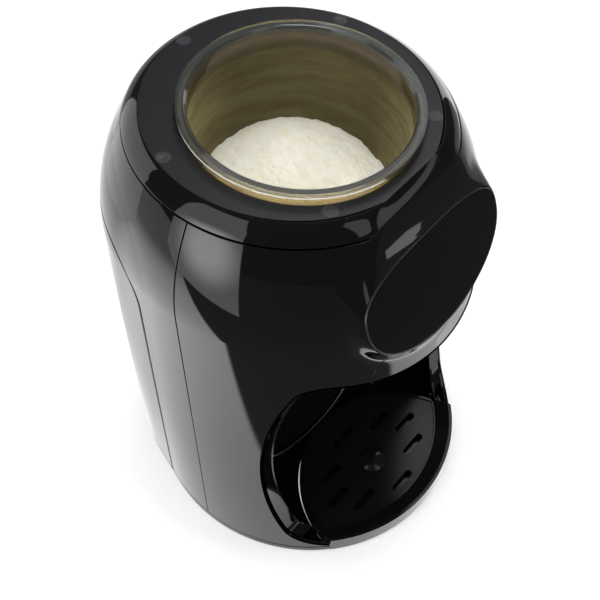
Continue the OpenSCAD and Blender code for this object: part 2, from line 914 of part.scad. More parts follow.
module drive_shaft() {
    color(steel)
        at_hopper() {
            translate([0, 0, bracket_z - shaft_tail])
                cylinder(deck_top + 0.4 - bracket_z + shaft_tail, r = shaft_r);
            translate([0, 0, deck_top])
                cylinder(dog_h, r = dog_r, $fn = 6);
        }
}
module drive_gear() {
    color("#e4e2da")
        at_hopper(gear_z)
            spur_gear(gear_teeth, gear_h, shaft_r + bore_gap, 0);
}
module motor_pinion() {
    color("#e4e2da")
        at_hopper(gear_z)
            translate([motor_x, 0, 0])
                spur_gear(pinion_teeth, gear_h, motor_shaft_r + bore_gap, 180 / pinion_teeth);
}
wheel_z = hopper_floor_z + 0.5;
wheel_t = 6;
wheel_r = hopper_in_r - 2;
wheel_hub_r = 7;
pocket_r = 7;
shield_z = wheel_z + wheel_t + 0.4;
shield_t = 1.8;
shield_half_a = 19.6;    // half the shield's angle
agitator_z = shield_z + shield_t + 0.5;
agitator_t = 2.6;
arm_w = 6;
arm_r = wheel_r - 4;     // tip of the agitator's arms
powder_z = agitator_z + agitator_t + 0.4;
module dosing_wheel() {
    color("#c9c6bd")
        at_hopper()
            difference() {
                union() {
                    translate([0, 0, wheel_z])
                        cylinder(wheel_t, r = wheel_r, $fn = 120);
                    translate([0, 0, hopper_low_z + 0.4])
                        cylinder(agitator_z - hopper_low_z - 0.4, r = wheel_hub_r);
                }
                for (k = [0:pocket_count - 1])
                    rotate([0, 0, -90 + k * 360 / pocket_count])
                        translate([pocket_ring, 0, wheel_z - 1])
                            cylinder(wheel_t + 2, r = pocket_r, $fn = 40);
                translate([0, 0, hopper_low_z - 1])
                    cylinder(dog_h + 1.8, r = dog_r + shell_gap, $fn = 6);
            }
}
module agitator() {
    color("#c9c6bd")
        at_hopper(agitator_z) {
            cylinder(agitator_t, r = wheel_hub_r, $fn = 48);
            for (k = [0:2])
                rotate([0, 0, k * 120 + 30])
                    translate([3, -arm_w / 2, 0])
                        cube([arm_r - 3, arm_w, agitator_t]);
        }
}

// ---- Hopper and powder ----
tab_t = 1.3;             // small upright tab on the hopper's neck
tab_w = 1.2;
neck_flare = 2;
lip_bevel = 1.5;
module hopper() {
    color("#8c845a", 0.45)
        at_hopper()
            difference() {
                union() {
                    translate([0, 0, hopper_low_z])
                        cylinder(rim_z - hopper_low_z, r = hopper_out_r, $fn = 120);
                    translate([0, 0, rim_z - rim_t])
                        cylinder(rim_t, r = rim_r, $fn = 120);
                    translate([0, 0, rim_z - rim_t - neck_flare])
                        cylinder(neck_flare, r1 = hopper_out_r, r2 = hopper_out_r + neck_flare, $fn = 120);
                    rotate([0, 0, -60])
                        translate([hopper_out_r - 0.5, -tab_w / 2, plate_z - 2])
                            cube([tab_t, tab_w, rim_z - rim_t - plate_z + 2]);
                }
                translate([0, 0, hopper_floor_z])
                    cylinder(far, r = hopper_in_r, $fn = 120);
                translate([0, 0, rim_z - lip_bevel])
                    cylinder(lip_bevel + eps, r1 = hopper_in_r, r2 = hopper_in_r + lip_bevel, $fn = 120);
                translate([0, 0, hopper_low_z - 1])
                    cylinder(10, r = wheel_hub_r + 0.3);
                translate([0, -pocket_ring, hopper_low_z - 1])
                    cylinder(10, r = discharge_r - 1, $fn = 48);
            }
}
// The heap is higher towards the back right, where it leans on the wall
heap_centre = [30, 18];
heap_spread = 50;
heap_edge_z = heap_z - 21.5;
heap_rings = 7;
heap_fn = 48;
function heap_height(x, y) =
    heap_edge_z + (heap_z - heap_edge_z)
        * exp(-(pow(x - heap_centre.x, 2) + pow(y - heap_centre.y, 2)) / (heap_spread * heap_spread));
module formula_powder() {
    r_max = hopper_in_r - 0.3;
    n = heap_fn;
    m = heap_rings;
    top = [
        for (j = [1:m]) for (i = [0:n - 1])
            let (r = r_max * j / m, a = 360 * i / n, x = r * cos(a), y = r * sin(a))
            [x, y, heap_height(x, y)]
    ];
    rim_low = [for (i = [0:n - 1]) let (a = 360 * i / n) [r_max * cos(a), r_max * sin(a), powder_z]];
    c = n * m + n;
    pts = concat(top, rim_low, [[0, 0, heap_height(0, 0)]]);
    color("#f6f2e4")
        at_hopper()
            polyhedron(
                points = pts,
                faces = concat(
                    [for (i = [0:n - 1]) [c, (i + 1) % n, i]],
                    [
                        for (j = [0:m - 1]) for (i = [0:n - 1])
                            let (a = j * n + i, b = j * n + (i + 1) % n)
                            for (t = [[a, b, b + n], [a, b + n, a + n]]) t
                    ],
                    [[for (i = [0:n - 1]) n * m + i]]
                )
            );
}
module dose_shield() {
    // Fixed cover over the pocket that is emptying, held in a slot of the hopper's wall
    color("#b9b6ad")
        at_hopper(shield_z)
            intersection() {
                difference() {
                    cylinder(shield_t, r = hopper_in_r - 0.1, $fn = 120);
                    translate([0, 0, -1])
                        cylinder(5, r = wheel_hub_r + 0.8);
                }
                rotate([0, 0, -90])
                    linear_extrude(far, center = true)
                        polygon([[0, 0], [far, -far * tan(shield_half_a)], [far, far * tan(shield_half_a)]]);
            }
}

// ---- Water ----
pump_at = [48, 16];
pump_r = 14;
pump_h = 44;
pump_flange = [3, 6];    // the pump's foot flange: overhang and height
heater_at = [66, 22];
heater_r = 15;
heater_z = 78;
heater_h = deck_z - 37 - heater_z;
stub_r = hose_r - 1.2;   // tube ends that the hoses slip over
stub_h = 8;
bore_r = stub_r + 0.05;
butt = 0.1;              // gap where a hose ends against a body
module water_pump() {
    color("#50545a")
        translate([pump_at.x, pump_at.y, floor_z]) {
            cylinder(pump_flange.y, r = pump_r + pump_flange.x);
            cylinder(pump_h, r = pump_r);
            translate([0, 0, pump_h - eps])
                cylinder(stub_h, r = stub_r, $fn = 32);
        }
}
module water_heater() {
    color(steel)
        translate([heater_at.x, heater_at.y, heater_z]) {
            cylinder(heater_h, r = heater_r);
            translate([0, 0, -stub_h])
                cylinder(heater_h + 2 * stub_h, r = stub_r, $fn = 32);
        }
}
strap_h = 8;
strap_half_w = heater_r + 3;
module heater_bracket() {
    color("#9a9ea3")
        for (z = [heater_z + 14, heater_z + heater_h - 22])
            difference() {
                translate([heater_at.x - strap_half_w, heater_at.y - 4, z])
                    cube([2 * strap_half_w, frame_y - heater_at.y + 4, strap_h]);
                translate([heater_at.x, heater_at.y, z - 1])
                    cylinder(strap_h + 2, r = heater_r + 0.05);
            }
}
module suction_hose() {
    color("#dcdcd4")
        difference() {
            bent_hose([
                [dock_x, dock_front_y - butt, dock_z], [dock_x, pump_at.y + 8, dock_z],
                [pump_at.x - pump_r - 3.2, pump_at.y, dock_z],
                [pump_at.x - pump_r + 0.3, pump_at.y, dock_z]
            ], hose_r);
            translate([pump_at.x, pump_at.y, 0])
                cylinder(100, r = pump_r + 0.05);
        }
}
module pump_hose() {
    pump_top = floor_z + pump_h;
    color("#dcdcd4")
        difference() {
            bent_hose([
                [pump_at.x, pump_at.y, pump_top + butt], [pump_at.x, pump_at.y, pump_top + 12.1],
                [heater_at.x, heater_at.y, heater_z - 10], [heater_at.x, heater_at.y, heater_z - butt]
            ], hose_r);
            translate([pump_at.x, pump_at.y, pump_top - stub_h])
                cylinder(2 * stub_h, r = bore_r, $fn = 32);
            translate([heater_at.x, heater_at.y, heater_z - stub_h - butt])
                cylinder(2 * stub_h, r = bore_r, $fn = 32);
        }
}
spout_at = [14, -53];
spout_w = 12;
spout_back = 5;          // from the spout's bore to its block's front face
spout_bore_r = 2.2;
flange_t = 2.2;
spout_hose_z = deck_top + hose_r + 0.6;
module spout_hose() {
    heater_top = heater_z + heater_h;
    color("#dcdcd4")
        difference() {
            bent_hose([
                [heater_at.x, heater_at.y, heater_top + butt], [heater_at.x, heater_at.y, heater_top + 16],
                [hose_rise.x, hose_rise.y, deck_z - 11], [hose_rise.x, hose_rise.y, spout_hose_z],
                [66, -36, spout_hose_z], [46, spout_at.y, spout_hose_z],
                [spout_at.x + spout_w / 2 + butt, spout_at.y, spout_hose_z]
            ], hose_r);
            translate([heater_at.x, heater_at.y, heater_top - 2])
                cylinder(stub_h + 2.1, r = bore_r, $fn = 32);
        }
}
module water_spout() {
    color("#3b3d40")
        difference() {
            union() {
                translate([spout_at.x - spout_w / 2, spout_at.y - spout_back, deck_z + 0.2])
                    cube([spout_w, spout_w, spout_hose_z + 5 - deck_z]);
                translate([spout_at.x - spout_w / 2 - 3, spout_at.y - spout_back - 3, deck_top])
                    cube([spout_w + 6, spout_w + 3.5, flange_t]);
            }
            translate([spout_at.x, spout_at.y, deck_z - 1])
                cylinder(spout_hose_z - deck_z + 1, r = spout_bore_r, $fn = 32);
            translate([spout_at.x, spout_at.y, spout_hose_z])
                rotate([0, 90, 0])
                    cylinder(spout_w, r = spout_bore_r, $fn = 32);
        }
}
dock_front_y = 33.1;
dock_floor_t = 5;
module tank_dock() {
    color(inner_black)
        translate([dock_x, dock_front_y, dock_z])
            rotate([-90, 0, 0])
                difference() {
                    cylinder(frame_y + frame_t - dock_front_y, r = dock_out_r);
                    translate([0, 0, dock_floor_t])
                        cylinder(40, r = outlet_r + 0.5, $fn = 48);
                    translate([0, 0, -1])
                        cylinder(2 * dock_floor_t, r = 2.5, $fn = 32);
                }
}

// ---- Mains inlet on the right-hand side ----
inlet_at = [0, 26, 30];
inlet_size = [18, 22, 16];
inlet_out_x = plan_point(inlet_at.z, 0, 0).x - 4; // its face, just inside the shell's curve
inlet_gap = 0.2;
inlet_depth = 12;        // from the inlet's face to its socket's floor
lobe_r = 4.2;            // the socket is two round lobes and a web between them
lobe_y = 4.3;
pin_len = 9;
pin_r = 1.2;
module inlet_cut() {
    translate([
        inlet_out_x - inlet_size.x, inlet_at.y - inlet_size.y / 2 - inlet_gap,
        inlet_at.z - inlet_size.z / 2 - inlet_gap
    ])
        cube([inlet_size.x + 20, inlet_size.y + 2 * inlet_gap, inlet_size.z + 2 * inlet_gap]);
}
module power_inlet() {
    color("#121212")
        difference() {
            translate([inlet_out_x - inlet_size.x, inlet_at.y - inlet_size.y / 2, inlet_at.z - inlet_size.z / 2])
                cube(inlet_size);
            for (s = [-1, 1])
                translate([inlet_out_x - inlet_depth, inlet_at.y + s * lobe_y, inlet_at.z])
                    rotate([0, 90, 0])
                        cylinder(20, r = lobe_r, $fn = 48);
            translate([inlet_out_x - inlet_depth, inlet_at.y - lobe_y, inlet_at.z - lobe_r])
                cube([20, 2 * lobe_y, 2 * lobe_r]);
        }
}
module inlet_pins() {
    color(steel)
        for (s = [-1, 1])
            translate([inlet_out_x - inlet_depth, inlet_at.y + s * lobe_y, inlet_at.z])
                rotate([0, 90, 0])
                    cylinder(pin_len, r = pin_r, $fn = 32);
}
main_at = [-84, frame_y - 7.5, 62];
main_size = [62, 1.6, bracket_z - 40 - main_at.z];
main_post_r = 2.5;
block_big = [24, 18, 22];  // transformer
block_small = [22, 6, 18]; // relays
can_size = [6, 14];        // radius and height of a capacitor
module main_board() {
    color(board_green)
        translate(main_at) {
            cube(main_size);
            for (x = [4, main_size.x - 4], z = [4, main_size.z - 4])
                translate([x, main_size.y - 0.1, z])
                    rotate([-90, 0, 0])
                        cylinder(frame_y - main_at.y - main_size.y + 0.1, r = main_post_r, $fn = 32);
            translate([8, -block_big.y, 12])
                cube(block_big + [0, 0.1, 0]);
            for (k = [0:2])
                translate([main_size.x - 18, 0.1, 16 + k * 20])
                    rotate([90, 0, 0])
                        cylinder(can_size.y, r = can_size.x, $fn = 40);
            translate([10, -block_small.y, main_size.z - 34])
                cube(block_small + [0, 0.1, 0]);
        }
}

// ---- Funnel drawer ----
funnel_low_z = carrier_z - 18.6;
funnel_top_z = deck_z - 0.4;
funnel_t = 1.8;
nozzle_y = bottle_y + 3;
nozzle_out_r = 8;
nozzle_in_r = 5.5;
nozzle_h = 8;
module funnel_plan(grow, h) {
    for (y = [funnel_y0, funnel_y1])
        translate([0, y, 0])
            cylinder(h, r = funnel_r + grow, $fn = 48);
    translate([-funnel_r - grow, funnel_y0, 0])
        cube([2 * (funnel_r + grow), funnel_y1 - funnel_y0, h]);
}
module funnel_drawer() {
    color(gloss) {
        difference() {
            intersection() {
                body_form(cover_low_z, cover_top_z + 16);
                cover_front(0);
            }
            body_form(cover_low_z - 10, cover_top_z + 26, wall);
            display_shadow(cover_display_gap + seam);
            bay_window();
        }
        difference() {
            intersection() {
                body_form(carrier_z, carrier_z + carrier_t, wall / 2);
                translate([-carrier_half_w, funnel_y1 + funnel_r - far, 0])
                    cube([2 * carrier_half_w, far, far]);
            }
            translate([0, 0, carrier_z - 1])
                funnel_plan(shell_gap - 2, 10);
        }
    }
}
module mixing_funnel() {
    // Its lip rests on the carrier, its bowl hangs through it
    seat_z = carrier_z + carrier_t + 0.1;
    bowl = -funnel_t - 0.6;
    color("#d9d9d4", 0.6)
        difference() {
            union() {
                hull() {
                    translate([0, 0, seat_z + 0.1])
                        funnel_plan(bowl, 0.5);
                    translate([0, nozzle_y, funnel_low_z + 6])
                        cylinder(0.5, r = nozzle_out_r, $fn = 32);
                }
                translate([0, 0, seat_z])
                    funnel_plan(2, 1.6);
                translate([0, 0, seat_z])
                    funnel_plan(-2, funnel_top_z - seat_z);
                translate([0, nozzle_y, funnel_low_z])
                    cylinder(nozzle_h, r = nozzle_out_r, $fn = 48);
            }
            hull() {
                translate([0, 0, seat_z + 0.1])
                    funnel_plan(bowl - funnel_t, 0.5);
                translate([0, nozzle_y, funnel_low_z + 7])
                    cylinder(0.5, r = nozzle_in_r, $fn = 32);
            }
            translate([0, 0, seat_z + 0.2])
                funnel_plan(bowl - funnel_t, 20);
            translate([0, nozzle_y, funnel_low_z - 1])
                cylinder(nozzle_h + 4, r = nozzle_in_r, $fn = 48);
        }
}

// ---- Tray and grille ----
tray_low_z = 1.6;
tray_wall = 1.8;
tray_floor_t = 1.6;
pad_at = [40, -82];      // the tray's two round feet
pad_r = 6;
lip_top = 2.2;           // width of the front lip's top
module tray_plan(inset) {
    intersection() {
        circle(base_front_r - inset, $fn = 160);
        translate([0, tray_y])
            circle(tray_r - inset, $fn = 120);
    }
}
grille_t = 1.8;
grille_low_z = grille_z - grille_t;
slope_w = 13;            // sloped band inside the tray's front lip
module drip_tray() {
    color("#161718")
        difference() {
            union() {
                translate([0, 0, tray_low_z])
                    linear_extrude(grille_z + 1 - tray_low_z)
                        tray_plan(0);
                intersection() {
                    translate([0, 0, tray_low_z])
                        linear_extrude(far)
                            tray_plan(0);
                    difference() {
                        cylinder(tray_lip_z, r = base_front_r, $fn = 160);
                        translate([0, 0, grille_z + 0.6])
                            cylinder(tray_lip_z - grille_z - 0.6 + eps,
                                     r1 = base_front_r - slope_w, r2 = base_front_r - lip_top, $fn = 160);
                    }
                }
                for (s = [-1, 1])
                    translate([s * pad_at.x, pad_at.y, 0])
                        cylinder(tray_low_z + eps, r = pad_r, $fn = 40);
            }
            translate([0, 0, tray_low_z + tray_floor_t])
                linear_extrude(far)
                    intersection() {
                        tray_plan(tray_wall);
                        circle(base_front_r - slope_w, $fn = 160);
                    }
        }
}
slot_rows = [[-2, 0], [2, 0], [-1, 1], [1, 1], [-1, -1], [1, -1], [0, 2], [0, -2]];
slot_step_x = [0, 30, 40.9]; // the pattern's columns and rows, out from its centre
slot_step_y = [0, 15.5, 27.4];
module grille_slots() {
    for (q = slot_rows)
        translate([
            sign(q.x) * slot_step_x[abs(q.x)],
            bottle_y + sign(q.y) * slot_step_y[abs(q.y)],
            grille_low_z - 6
        ]) {
            for (s = [-1, 1])
                translate([s * (slot_len - slot_w) / 2, 0, 0])
                    cylinder(20, r = slot_w / 2, $fn = 32);
            translate([-(slot_len - slot_w) / 2, -slot_w / 2, 0])
                cube([slot_len - slot_w, slot_w, 20]);
        }
}
dome_r = 12;
dome_h = 3.2;
dome_ball_r = 17.2;
leg_r = 3;
leg_places = [[-50, -70], [50, -70], [0, -30]];
leg_z = tray_low_z + tray_floor_t + fit;
module drip_grille() {
    color("#1c1d1e")
        difference() {
            union() {
                translate([0, 0, grille_low_z])
                    linear_extrude(grille_t)
                        intersection() {
                            tray_plan(tray_wall + tray_gap);
                            circle(base_front_r - slope_w - tray_gap, $fn = 160);
                        }
                translate([0, bottle_y, grille_z + dome_h - dome_ball_r])
                    intersection() {
                        sphere(dome_ball_r, $fn = 64);
                        translate([0, 0, dome_ball_r - dome_h - 1])
                            cylinder(8, r = dome_r);
                    }
                for (p = leg_places)
                    translate([p.x, p.y, leg_z])
                        cylinder(grille_low_z - leg_z + eps, r = leg_r, $fn = 32);
            }
            grille_slots();
        }
}

// ---- Water tank ----
outlet_r = 5.6;
tank_floor_z = plinth_z + seam;
tank_half_w = 92;
tank_top_z = tank_corner_z + 46;
mouth_x = 46;
mouth_y0 = 103;
mouth_y1 = 131;
stub_hole_r = 3.2;
module tank_block(inset, low_z) {
    difference() {
        intersection() {
            body_form(low_z, tank_top_z, inset);
            tank_side(tank_gap + inset);
        }
        translate([-tank_half_w - inset, -far, 0])
            cube([2 * (tank_half_w + inset), far + tank_front_y + inset, tank_corner_z + 6]);
        at_hopper(tank_corner_z - 11 - inset)
            cylinder(far, r = well_out_r + 3 + inset, $fn = 96);
    }
}
module water_tank() {
    color("#1b1c20", 0.92)
        difference() {
            tank_block(0, tank_floor_z);
            tank_block(tank_t, tank_floor_z + tank_t);
            translate([-mouth_x, mouth_y0, tank_corner_z + 21])
                cube([2 * mouth_x, mouth_y1 - mouth_y0, 60]);
            translate([dock_x, tank_front_y - 1, dock_z])
                rotate([-90, 0, 0])
                    cylinder(tank_t + 3, r = stub_hole_r, $fn = 32);
        }
}
lid_z = tank_corner_z + 37.5;
lid_t = 3;
finger_r = 10;           // finger hole through the lid
module tank_lid() {
    color("#24262a")
        difference() {
            translate([-mouth_x + fit, mouth_y0 + fit, lid_z - lid_t])
                cube([2 * (mouth_x - fit), mouth_y1 - mouth_y0 - 2 * fit, lid_t]);
            translate([0, (mouth_y0 + mouth_y1) / 2, lid_z - lid_t - 2])
                cylinder(10, r = finger_r);
        }
}
seal_r = 1;
module tank_outlet() {
    color("#2b2d31")
        translate([dock_x, 0, dock_z])
            rotate([-90, 0, 0])
                difference() {
                    union() {
                        translate([0, 0, frame_y - 7])
                            cylinder(tank_front_y - frame_y + 7, r = outlet_r - 0.6, $fn = 48);
                        translate([0, 0, tank_front_y - 0.6])
                            cylinder(0.6, r = outlet_r + 2, $fn = 48);
                    }
                    translate([0, 0, frame_y - 20])
                        cylinder(40, r = stub_hole_r - 0.2, $fn = 32);
                    translate([0, 0, frame_y - 4])
                        rotate_extrude($fn = 48)
                            translate([outlet_r - 0.6, 0])
                                circle(seal_r, $fn = 24);
                }
}
module outlet_seal() {
    color("#101010")
        translate([dock_x, 0, dock_z])
            rotate([-90, 0, 0])
                translate([0, 0, frame_y - 4])
                    rotate_extrude($fn = 48)
                        translate([outlet_r - 0.6, 0])
                            circle(seal_r - 0.05, $fn = 24);
}

base_plate();
feet();
base_screws();
front_shell();
rear_shell();
top_cap();
top_plate();
plate_plugs();
plate_screws();
display_panel();
display_bezel();
control_board();
board_posts();
bay_liner();
bay_ceiling();
drawer_rails();
machine_frame();
hopper_deck();
hopper_well();
motor_bracket();
gear_motor();
shaft_bushes();
main_board();
water_pump();
water_heater();
heater_bracket();
suction_hose();
pump_hose();
spout_hose();
water_spout();
tank_dock();
power_inlet();
inlet_pins();
hopper();
formula_powder();
dose_shield();
dosing_wheel();
agitator();
drive_shaft();
drive_gear();
motor_pinion();
funnel_drawer();
mixing_funnel();
drip_tray();
drip_grille();
water_tank();
tank_lid();
tank_outlet();
outlet_seal();
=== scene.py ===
import json
import math

import bpy
import numpy as np
from mathutils import Matrix, Vector, noise


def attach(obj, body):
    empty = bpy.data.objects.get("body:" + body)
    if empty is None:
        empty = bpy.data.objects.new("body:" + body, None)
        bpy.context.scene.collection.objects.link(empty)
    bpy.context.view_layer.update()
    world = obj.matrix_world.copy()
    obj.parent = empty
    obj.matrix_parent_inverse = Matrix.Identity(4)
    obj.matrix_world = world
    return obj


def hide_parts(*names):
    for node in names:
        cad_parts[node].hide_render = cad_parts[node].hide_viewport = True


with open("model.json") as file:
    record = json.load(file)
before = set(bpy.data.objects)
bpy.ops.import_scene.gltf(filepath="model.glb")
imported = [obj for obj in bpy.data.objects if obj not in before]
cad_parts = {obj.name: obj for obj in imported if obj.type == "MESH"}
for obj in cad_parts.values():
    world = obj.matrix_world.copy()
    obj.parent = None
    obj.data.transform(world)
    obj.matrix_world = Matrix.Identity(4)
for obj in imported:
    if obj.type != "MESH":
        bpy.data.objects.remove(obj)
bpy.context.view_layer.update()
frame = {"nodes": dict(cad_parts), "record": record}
nodes = frame["nodes"]
scene = bpy.context.scene
scene.view_settings.view_transform = "Standard"
mm = 0.001
print("frame loaded with", len(nodes), "nodes")


# camera
photoView = {
    "azimuth": -54.9,  # degrees round the machine from its front, towards its -X side
    "elevation": 52.79,
    "roll": 4.99,
    "distance": 0.718,
    "lens": 67.62,
    "target": (-0.01901, 0.00222, 0.1664),
}


def makeCamera(view):
    azimuth, elevation, roll = (math.radians(view[k]) for k in ("azimuth", "elevation", "roll"))
    level = math.cos(elevation)
    back = Vector((math.sin(azimuth) * level, -math.cos(azimuth) * level, math.sin(elevation)))
    right = Vector((0, 0, 1)).cross(back).normalized()
    up = back.cross(right)
    across = right * math.cos(roll) + up * math.sin(roll)
    upward = up * math.cos(roll) - right * math.sin(roll)
    data = bpy.data.cameras.new("photoCamera")
    data.lens = view["lens"]
    data.sensor_width = 36
    camera = bpy.data.objects.new("photoCamera", data)
    scene.collection.objects.link(camera)
    turn = Matrix((across, upward, back)).transposed().to_4x4()
    camera.matrix_world = Matrix.Translation(Vector(view["target"]) + back * view["distance"]) @ turn
    scene.camera = camera


makeCamera(photoView)
print("camera placed")


# the body's form, in millimetres
bodyForm = {
    "frontRadius": 109.0,
    "rearRadius": 98.3,
    "rearY": 32.0,
    "frontFlare": 4.7,
    "rearFlare": 14.6,
    "rearBelly": 1.0,
    "shoulderZ": 228.0,
    "shoulderRadius": 125.0,
    "capSeamZ": 291.4,
    "seam": 0.4,
    "plinthZ": 6.0,
    "axisY": 25.0,  # rays that measure the form start on this upright axis
}
displayForm = {
    "y": -75.604,
    "z": 246.5,
    "tilt": 21.0,
    "halfWidth": 62.5,
    "up": 25.5,
    "down": 40.5,
    "bezel": 1.2,
    "podReach": 26.0,  # how far the swelling round the display runs out at its sides
    "podLeast": 0.12,  # share of that above and below
    "podBelow": 1.1,  # how soon it narrows round the lower and the upper half
    "podAbove": 3.0,
    "rollZ": 268.0,
    "roll": 0.0053,
}


def shoulderDrop(z):
    q = np.maximum(z - bodyForm["shoulderZ"], 0)
    return bodyForm["shoulderRadius"] - np.sqrt(bodyForm["shoulderRadius"] ** 2 - q * q)


def leanY(z):
    return bodyForm["rearY"] * z / bodyForm["capSeamZ"]


def frontRadius(z):
    rise = np.minimum(z, bodyForm["shoulderZ"]) / bodyForm["shoulderZ"]
    return bodyForm["frontRadius"] + bodyForm["frontFlare"] * rise - shoulderDrop(z)


def rearRadius(z):
    rise = np.minimum(z, bodyForm["shoulderZ"]) / bodyForm["shoulderZ"]
    belly = bodyForm["rearBelly"] * np.sin(math.pi * rise)
    return bodyForm["rearRadius"] + bodyForm["rearFlare"] * rise + belly - shoulderDrop(z)


def planDistance(x, y, z):  # signed distance in plan to the two circles and the lines that join them
    r1, r2, y1 = frontRadius(z), rearRadius(z), leanY(z)
    length = np.maximum(bodyForm["rearY"] - y1, 1e-6)
    slope = np.clip((r1 - r2) / length, -1, 1)
    cosine = np.sqrt(1 - slope * slope)
    across, along = np.abs(x), y - y1
    place = along * cosine - across * slope
    front = np.hypot(across, along) - r1
    rear = np.hypot(across, along - length) - r2
    side = across * cosine + along * slope - r1
    out = np.where(place < 0, front, np.where(place > length * cosine, rear, side))
    return np.where(length <= np.abs(r1 - r2) + 1e-6, front, out)


def facetY(z):
    q = np.maximum(z - displayForm["rollZ"], 0)
    flat = displayForm["y"] + math.tan(math.radians(displayForm["tilt"])) * (z - displayForm["z"])
    return flat + displayForm["roll"] * q * q


def outlineRadius(angle):  # how far the display's outline lies from its middle
    c, s = np.abs(np.cos(angle)), np.sin(angle)
    upper = ((c / displayForm["halfWidth"]) ** 3 + (np.abs(s) / displayForm["up"]) ** 3) ** (-1 / 3)
    lower = ((c / displayForm["halfWidth"]) ** 2 + (s / displayForm["down"]) ** 2) ** -0.5
    return np.where(s >= 0, upper, lower)


def outlineDistance(x, z):  # distance outside the display's outline, seen along Y
    v = (z - displayForm["z"]) / math.cos(math.radians(displayForm["tilt"]))
    angle = np.arctan2(v, x)
    r = outlineRadius(angle)
    slope = (outlineRadius(angle + 0.01) - outlineRadius(angle - 0.01)) / 0.02 / r
    return (np.hypot(x, v) - r) / np.sqrt(1 + slope * slope), angle


def softMin(a, b, k):
    h = np.clip(0.5 + 0.5 * (b - a) / k, 0, 1)
    return b + (a - b) * h - k * h * (1 - h)


def bodyPoint(t, z, inset=0.0, plain=False):
    # t is the angle round the axis from the front, towards +X
    sine, cosine = np.sin(t), np.cos(t)
    r = np.full(np.shape(t), 110.0)
    for _ in range(7):
        here = planDistance(r * sine, bodyForm["axisY"] - r * cosine, z) + inset
        ahead = planDistance((r + 0.01) * sine, bodyForm["axisY"] - (r + 0.01) * cosine, z) + inset
        r = r - here / np.maximum((ahead - here) / 0.01, 0.3)
    if not plain:
        ahead = cosine > 0.15
        safe = np.where(ahead, cosine, 1)
        facet = np.where(ahead, (bodyForm["axisY"] - facetY(z) - inset) / safe, 1e3)
        base = softMin(r, facet, 3.0)
        tilt = math.tan(math.radians(displayForm["tilt"]))
        run = bodyForm["axisY"] - displayForm["y"] - tilt * (z - displayForm["z"])
        plane = np.where(ahead, run / safe, 1e3)
        out, angle = outlineDistance(np.where(ahead, plane * sine, 900), z)
        out = out - displayForm["bezel"]
        sharpness = np.where(np.sin(angle) < 0, displayForm["podBelow"], displayForm["podAbove"])
        least = displayForm["podLeast"]
        reach = displayForm["podReach"] * (least + (1 - least) * np.abs(np.cos(angle)) ** sharpness)
        swell = np.clip(1 - out / reach, 0, 1) ** 3
        r = base + np.maximum(plane - base, 0) * swell
    return np.stack([r * sine, bodyForm["axisY"] - r * cosine, z + 0 * r], -1)


capForm = {
    "y": 32.4,
    "round": 21.2,
    "turn": 27.0,
    "step": 0.15,
    "holeRadius": 85.9,
    "columns": 540,
    "rows": 22,
}
capTurn = math.radians(capForm["turn"])
seamRadius = float(frontRadius(np.array(bodyForm["capSeamZ"])))
capForm["turnRadius"] = seamRadius - capForm["step"] - capForm["round"] * math.cos(capTurn)
capForm["turnZ"] = bodyForm["capSeamZ"] - capForm["round"] * math.sin(capTurn)


def capPoint(t, lift):  # lift is the angle up the cap's rounded edge
    r = capForm["turnRadius"] + capForm["round"] * np.cos(lift)
    z = capForm["turnZ"] + capForm["round"] * np.sin(lift)
    y = capForm["y"] - r * np.cos(t)
    y = -softMin(-y, -facetY(z), 2.0)
    return np.stack([r * np.sin(t), y, z], -1)


# seams and openings, as distances in side view
bayForm = {
    "edgeRadius": 213.0,
    "edgeY": -36.0,
    "edgeZ": 113.0,
    "topZ": 188.5,
    "topY": -94.996,
    "topSlope": 12.0,
    "topRound": 13.0,
    "lowZ": 7.4,
    "lowRound": 20.0,
    "cheek": 11.0,
    "backY": -12.0,
    "backRadius": 239.0,
}


def roundCorner(a, b, radius):
    a, b = a + radius, b + radius
    return np.minimum(np.maximum(a, b), 0) + np.hypot(np.maximum(a, 0), np.maximum(b, 0)) - radius


def bayWindow(p):
    y, z = p[:, 1], p[:, 2]
    radius = bayForm["edgeRadius"]
    edge = np.hypot(y - bayForm["edgeY"] + radius, z - bayForm["edgeZ"]) - radius
    slope = math.radians(bayForm["topSlope"])
    along = np.maximum(y, bayForm["topY"]) - bayForm["topY"]
    top = (z - bayForm["topZ"]) * math.cos(slope) - along * math.sin(slope)
    low = roundCorner(edge, bayForm["lowZ"] - z, bayForm["lowRound"])
    return np.maximum(roundCorner(edge, top, bayForm["topRound"]), low)


seamForm = {"footY": 2, "lean": 0.0756}


def sideSeam(p):
    lean = seamForm["lean"]
    return (p[:, 1] - seamForm["footY"] - lean * p[:, 2]) / math.hypot(1, lean)


tankForm = {
    "footY": 43.8,
    "topY": 51.2,
    "cornerZ": 204.0,
    "corner": 36.0,
    "rise": 6.0,
    "run": 60,
    "gap": 1.5,
    "highZ": 252,
    "edge": 0.9,
    "wall": 1.5,
}


def tankSide(p):  # negative inside the tank's outline
    y, z = p[:, 1], p[:, 2]
    front = tankForm["footY"] + (tankForm["topY"] - tankForm["footY"]) * z / tankForm["cornerZ"] - y
    middleY = tankForm["topY"] + tankForm["corner"]
    climb = tankForm["rise"] * np.maximum(y - middleY, 0) / tankForm["run"]
    top = z - tankForm["cornerZ"] - tankForm["corner"] - climb
    corner = np.hypot(y - middleY, z - tankForm["cornerZ"]) - tankForm["corner"]
    inCorner = (y < middleY) & (z > tankForm["cornerZ"])
    return np.where(inCorner, corner, np.maximum(front, top))


coverForm = {
    "footHalf": 54.5,
    "footZ": 191.0,
    "topHalf": 48.0,
    "topZ": 214.0,
    "gap": 0.4,
    "bridge": 2.4,  # what the shell keeps between the cover and the display
    "zRange": (184, 226),
    "angle": 0.62,
    "step": 0.9,
}


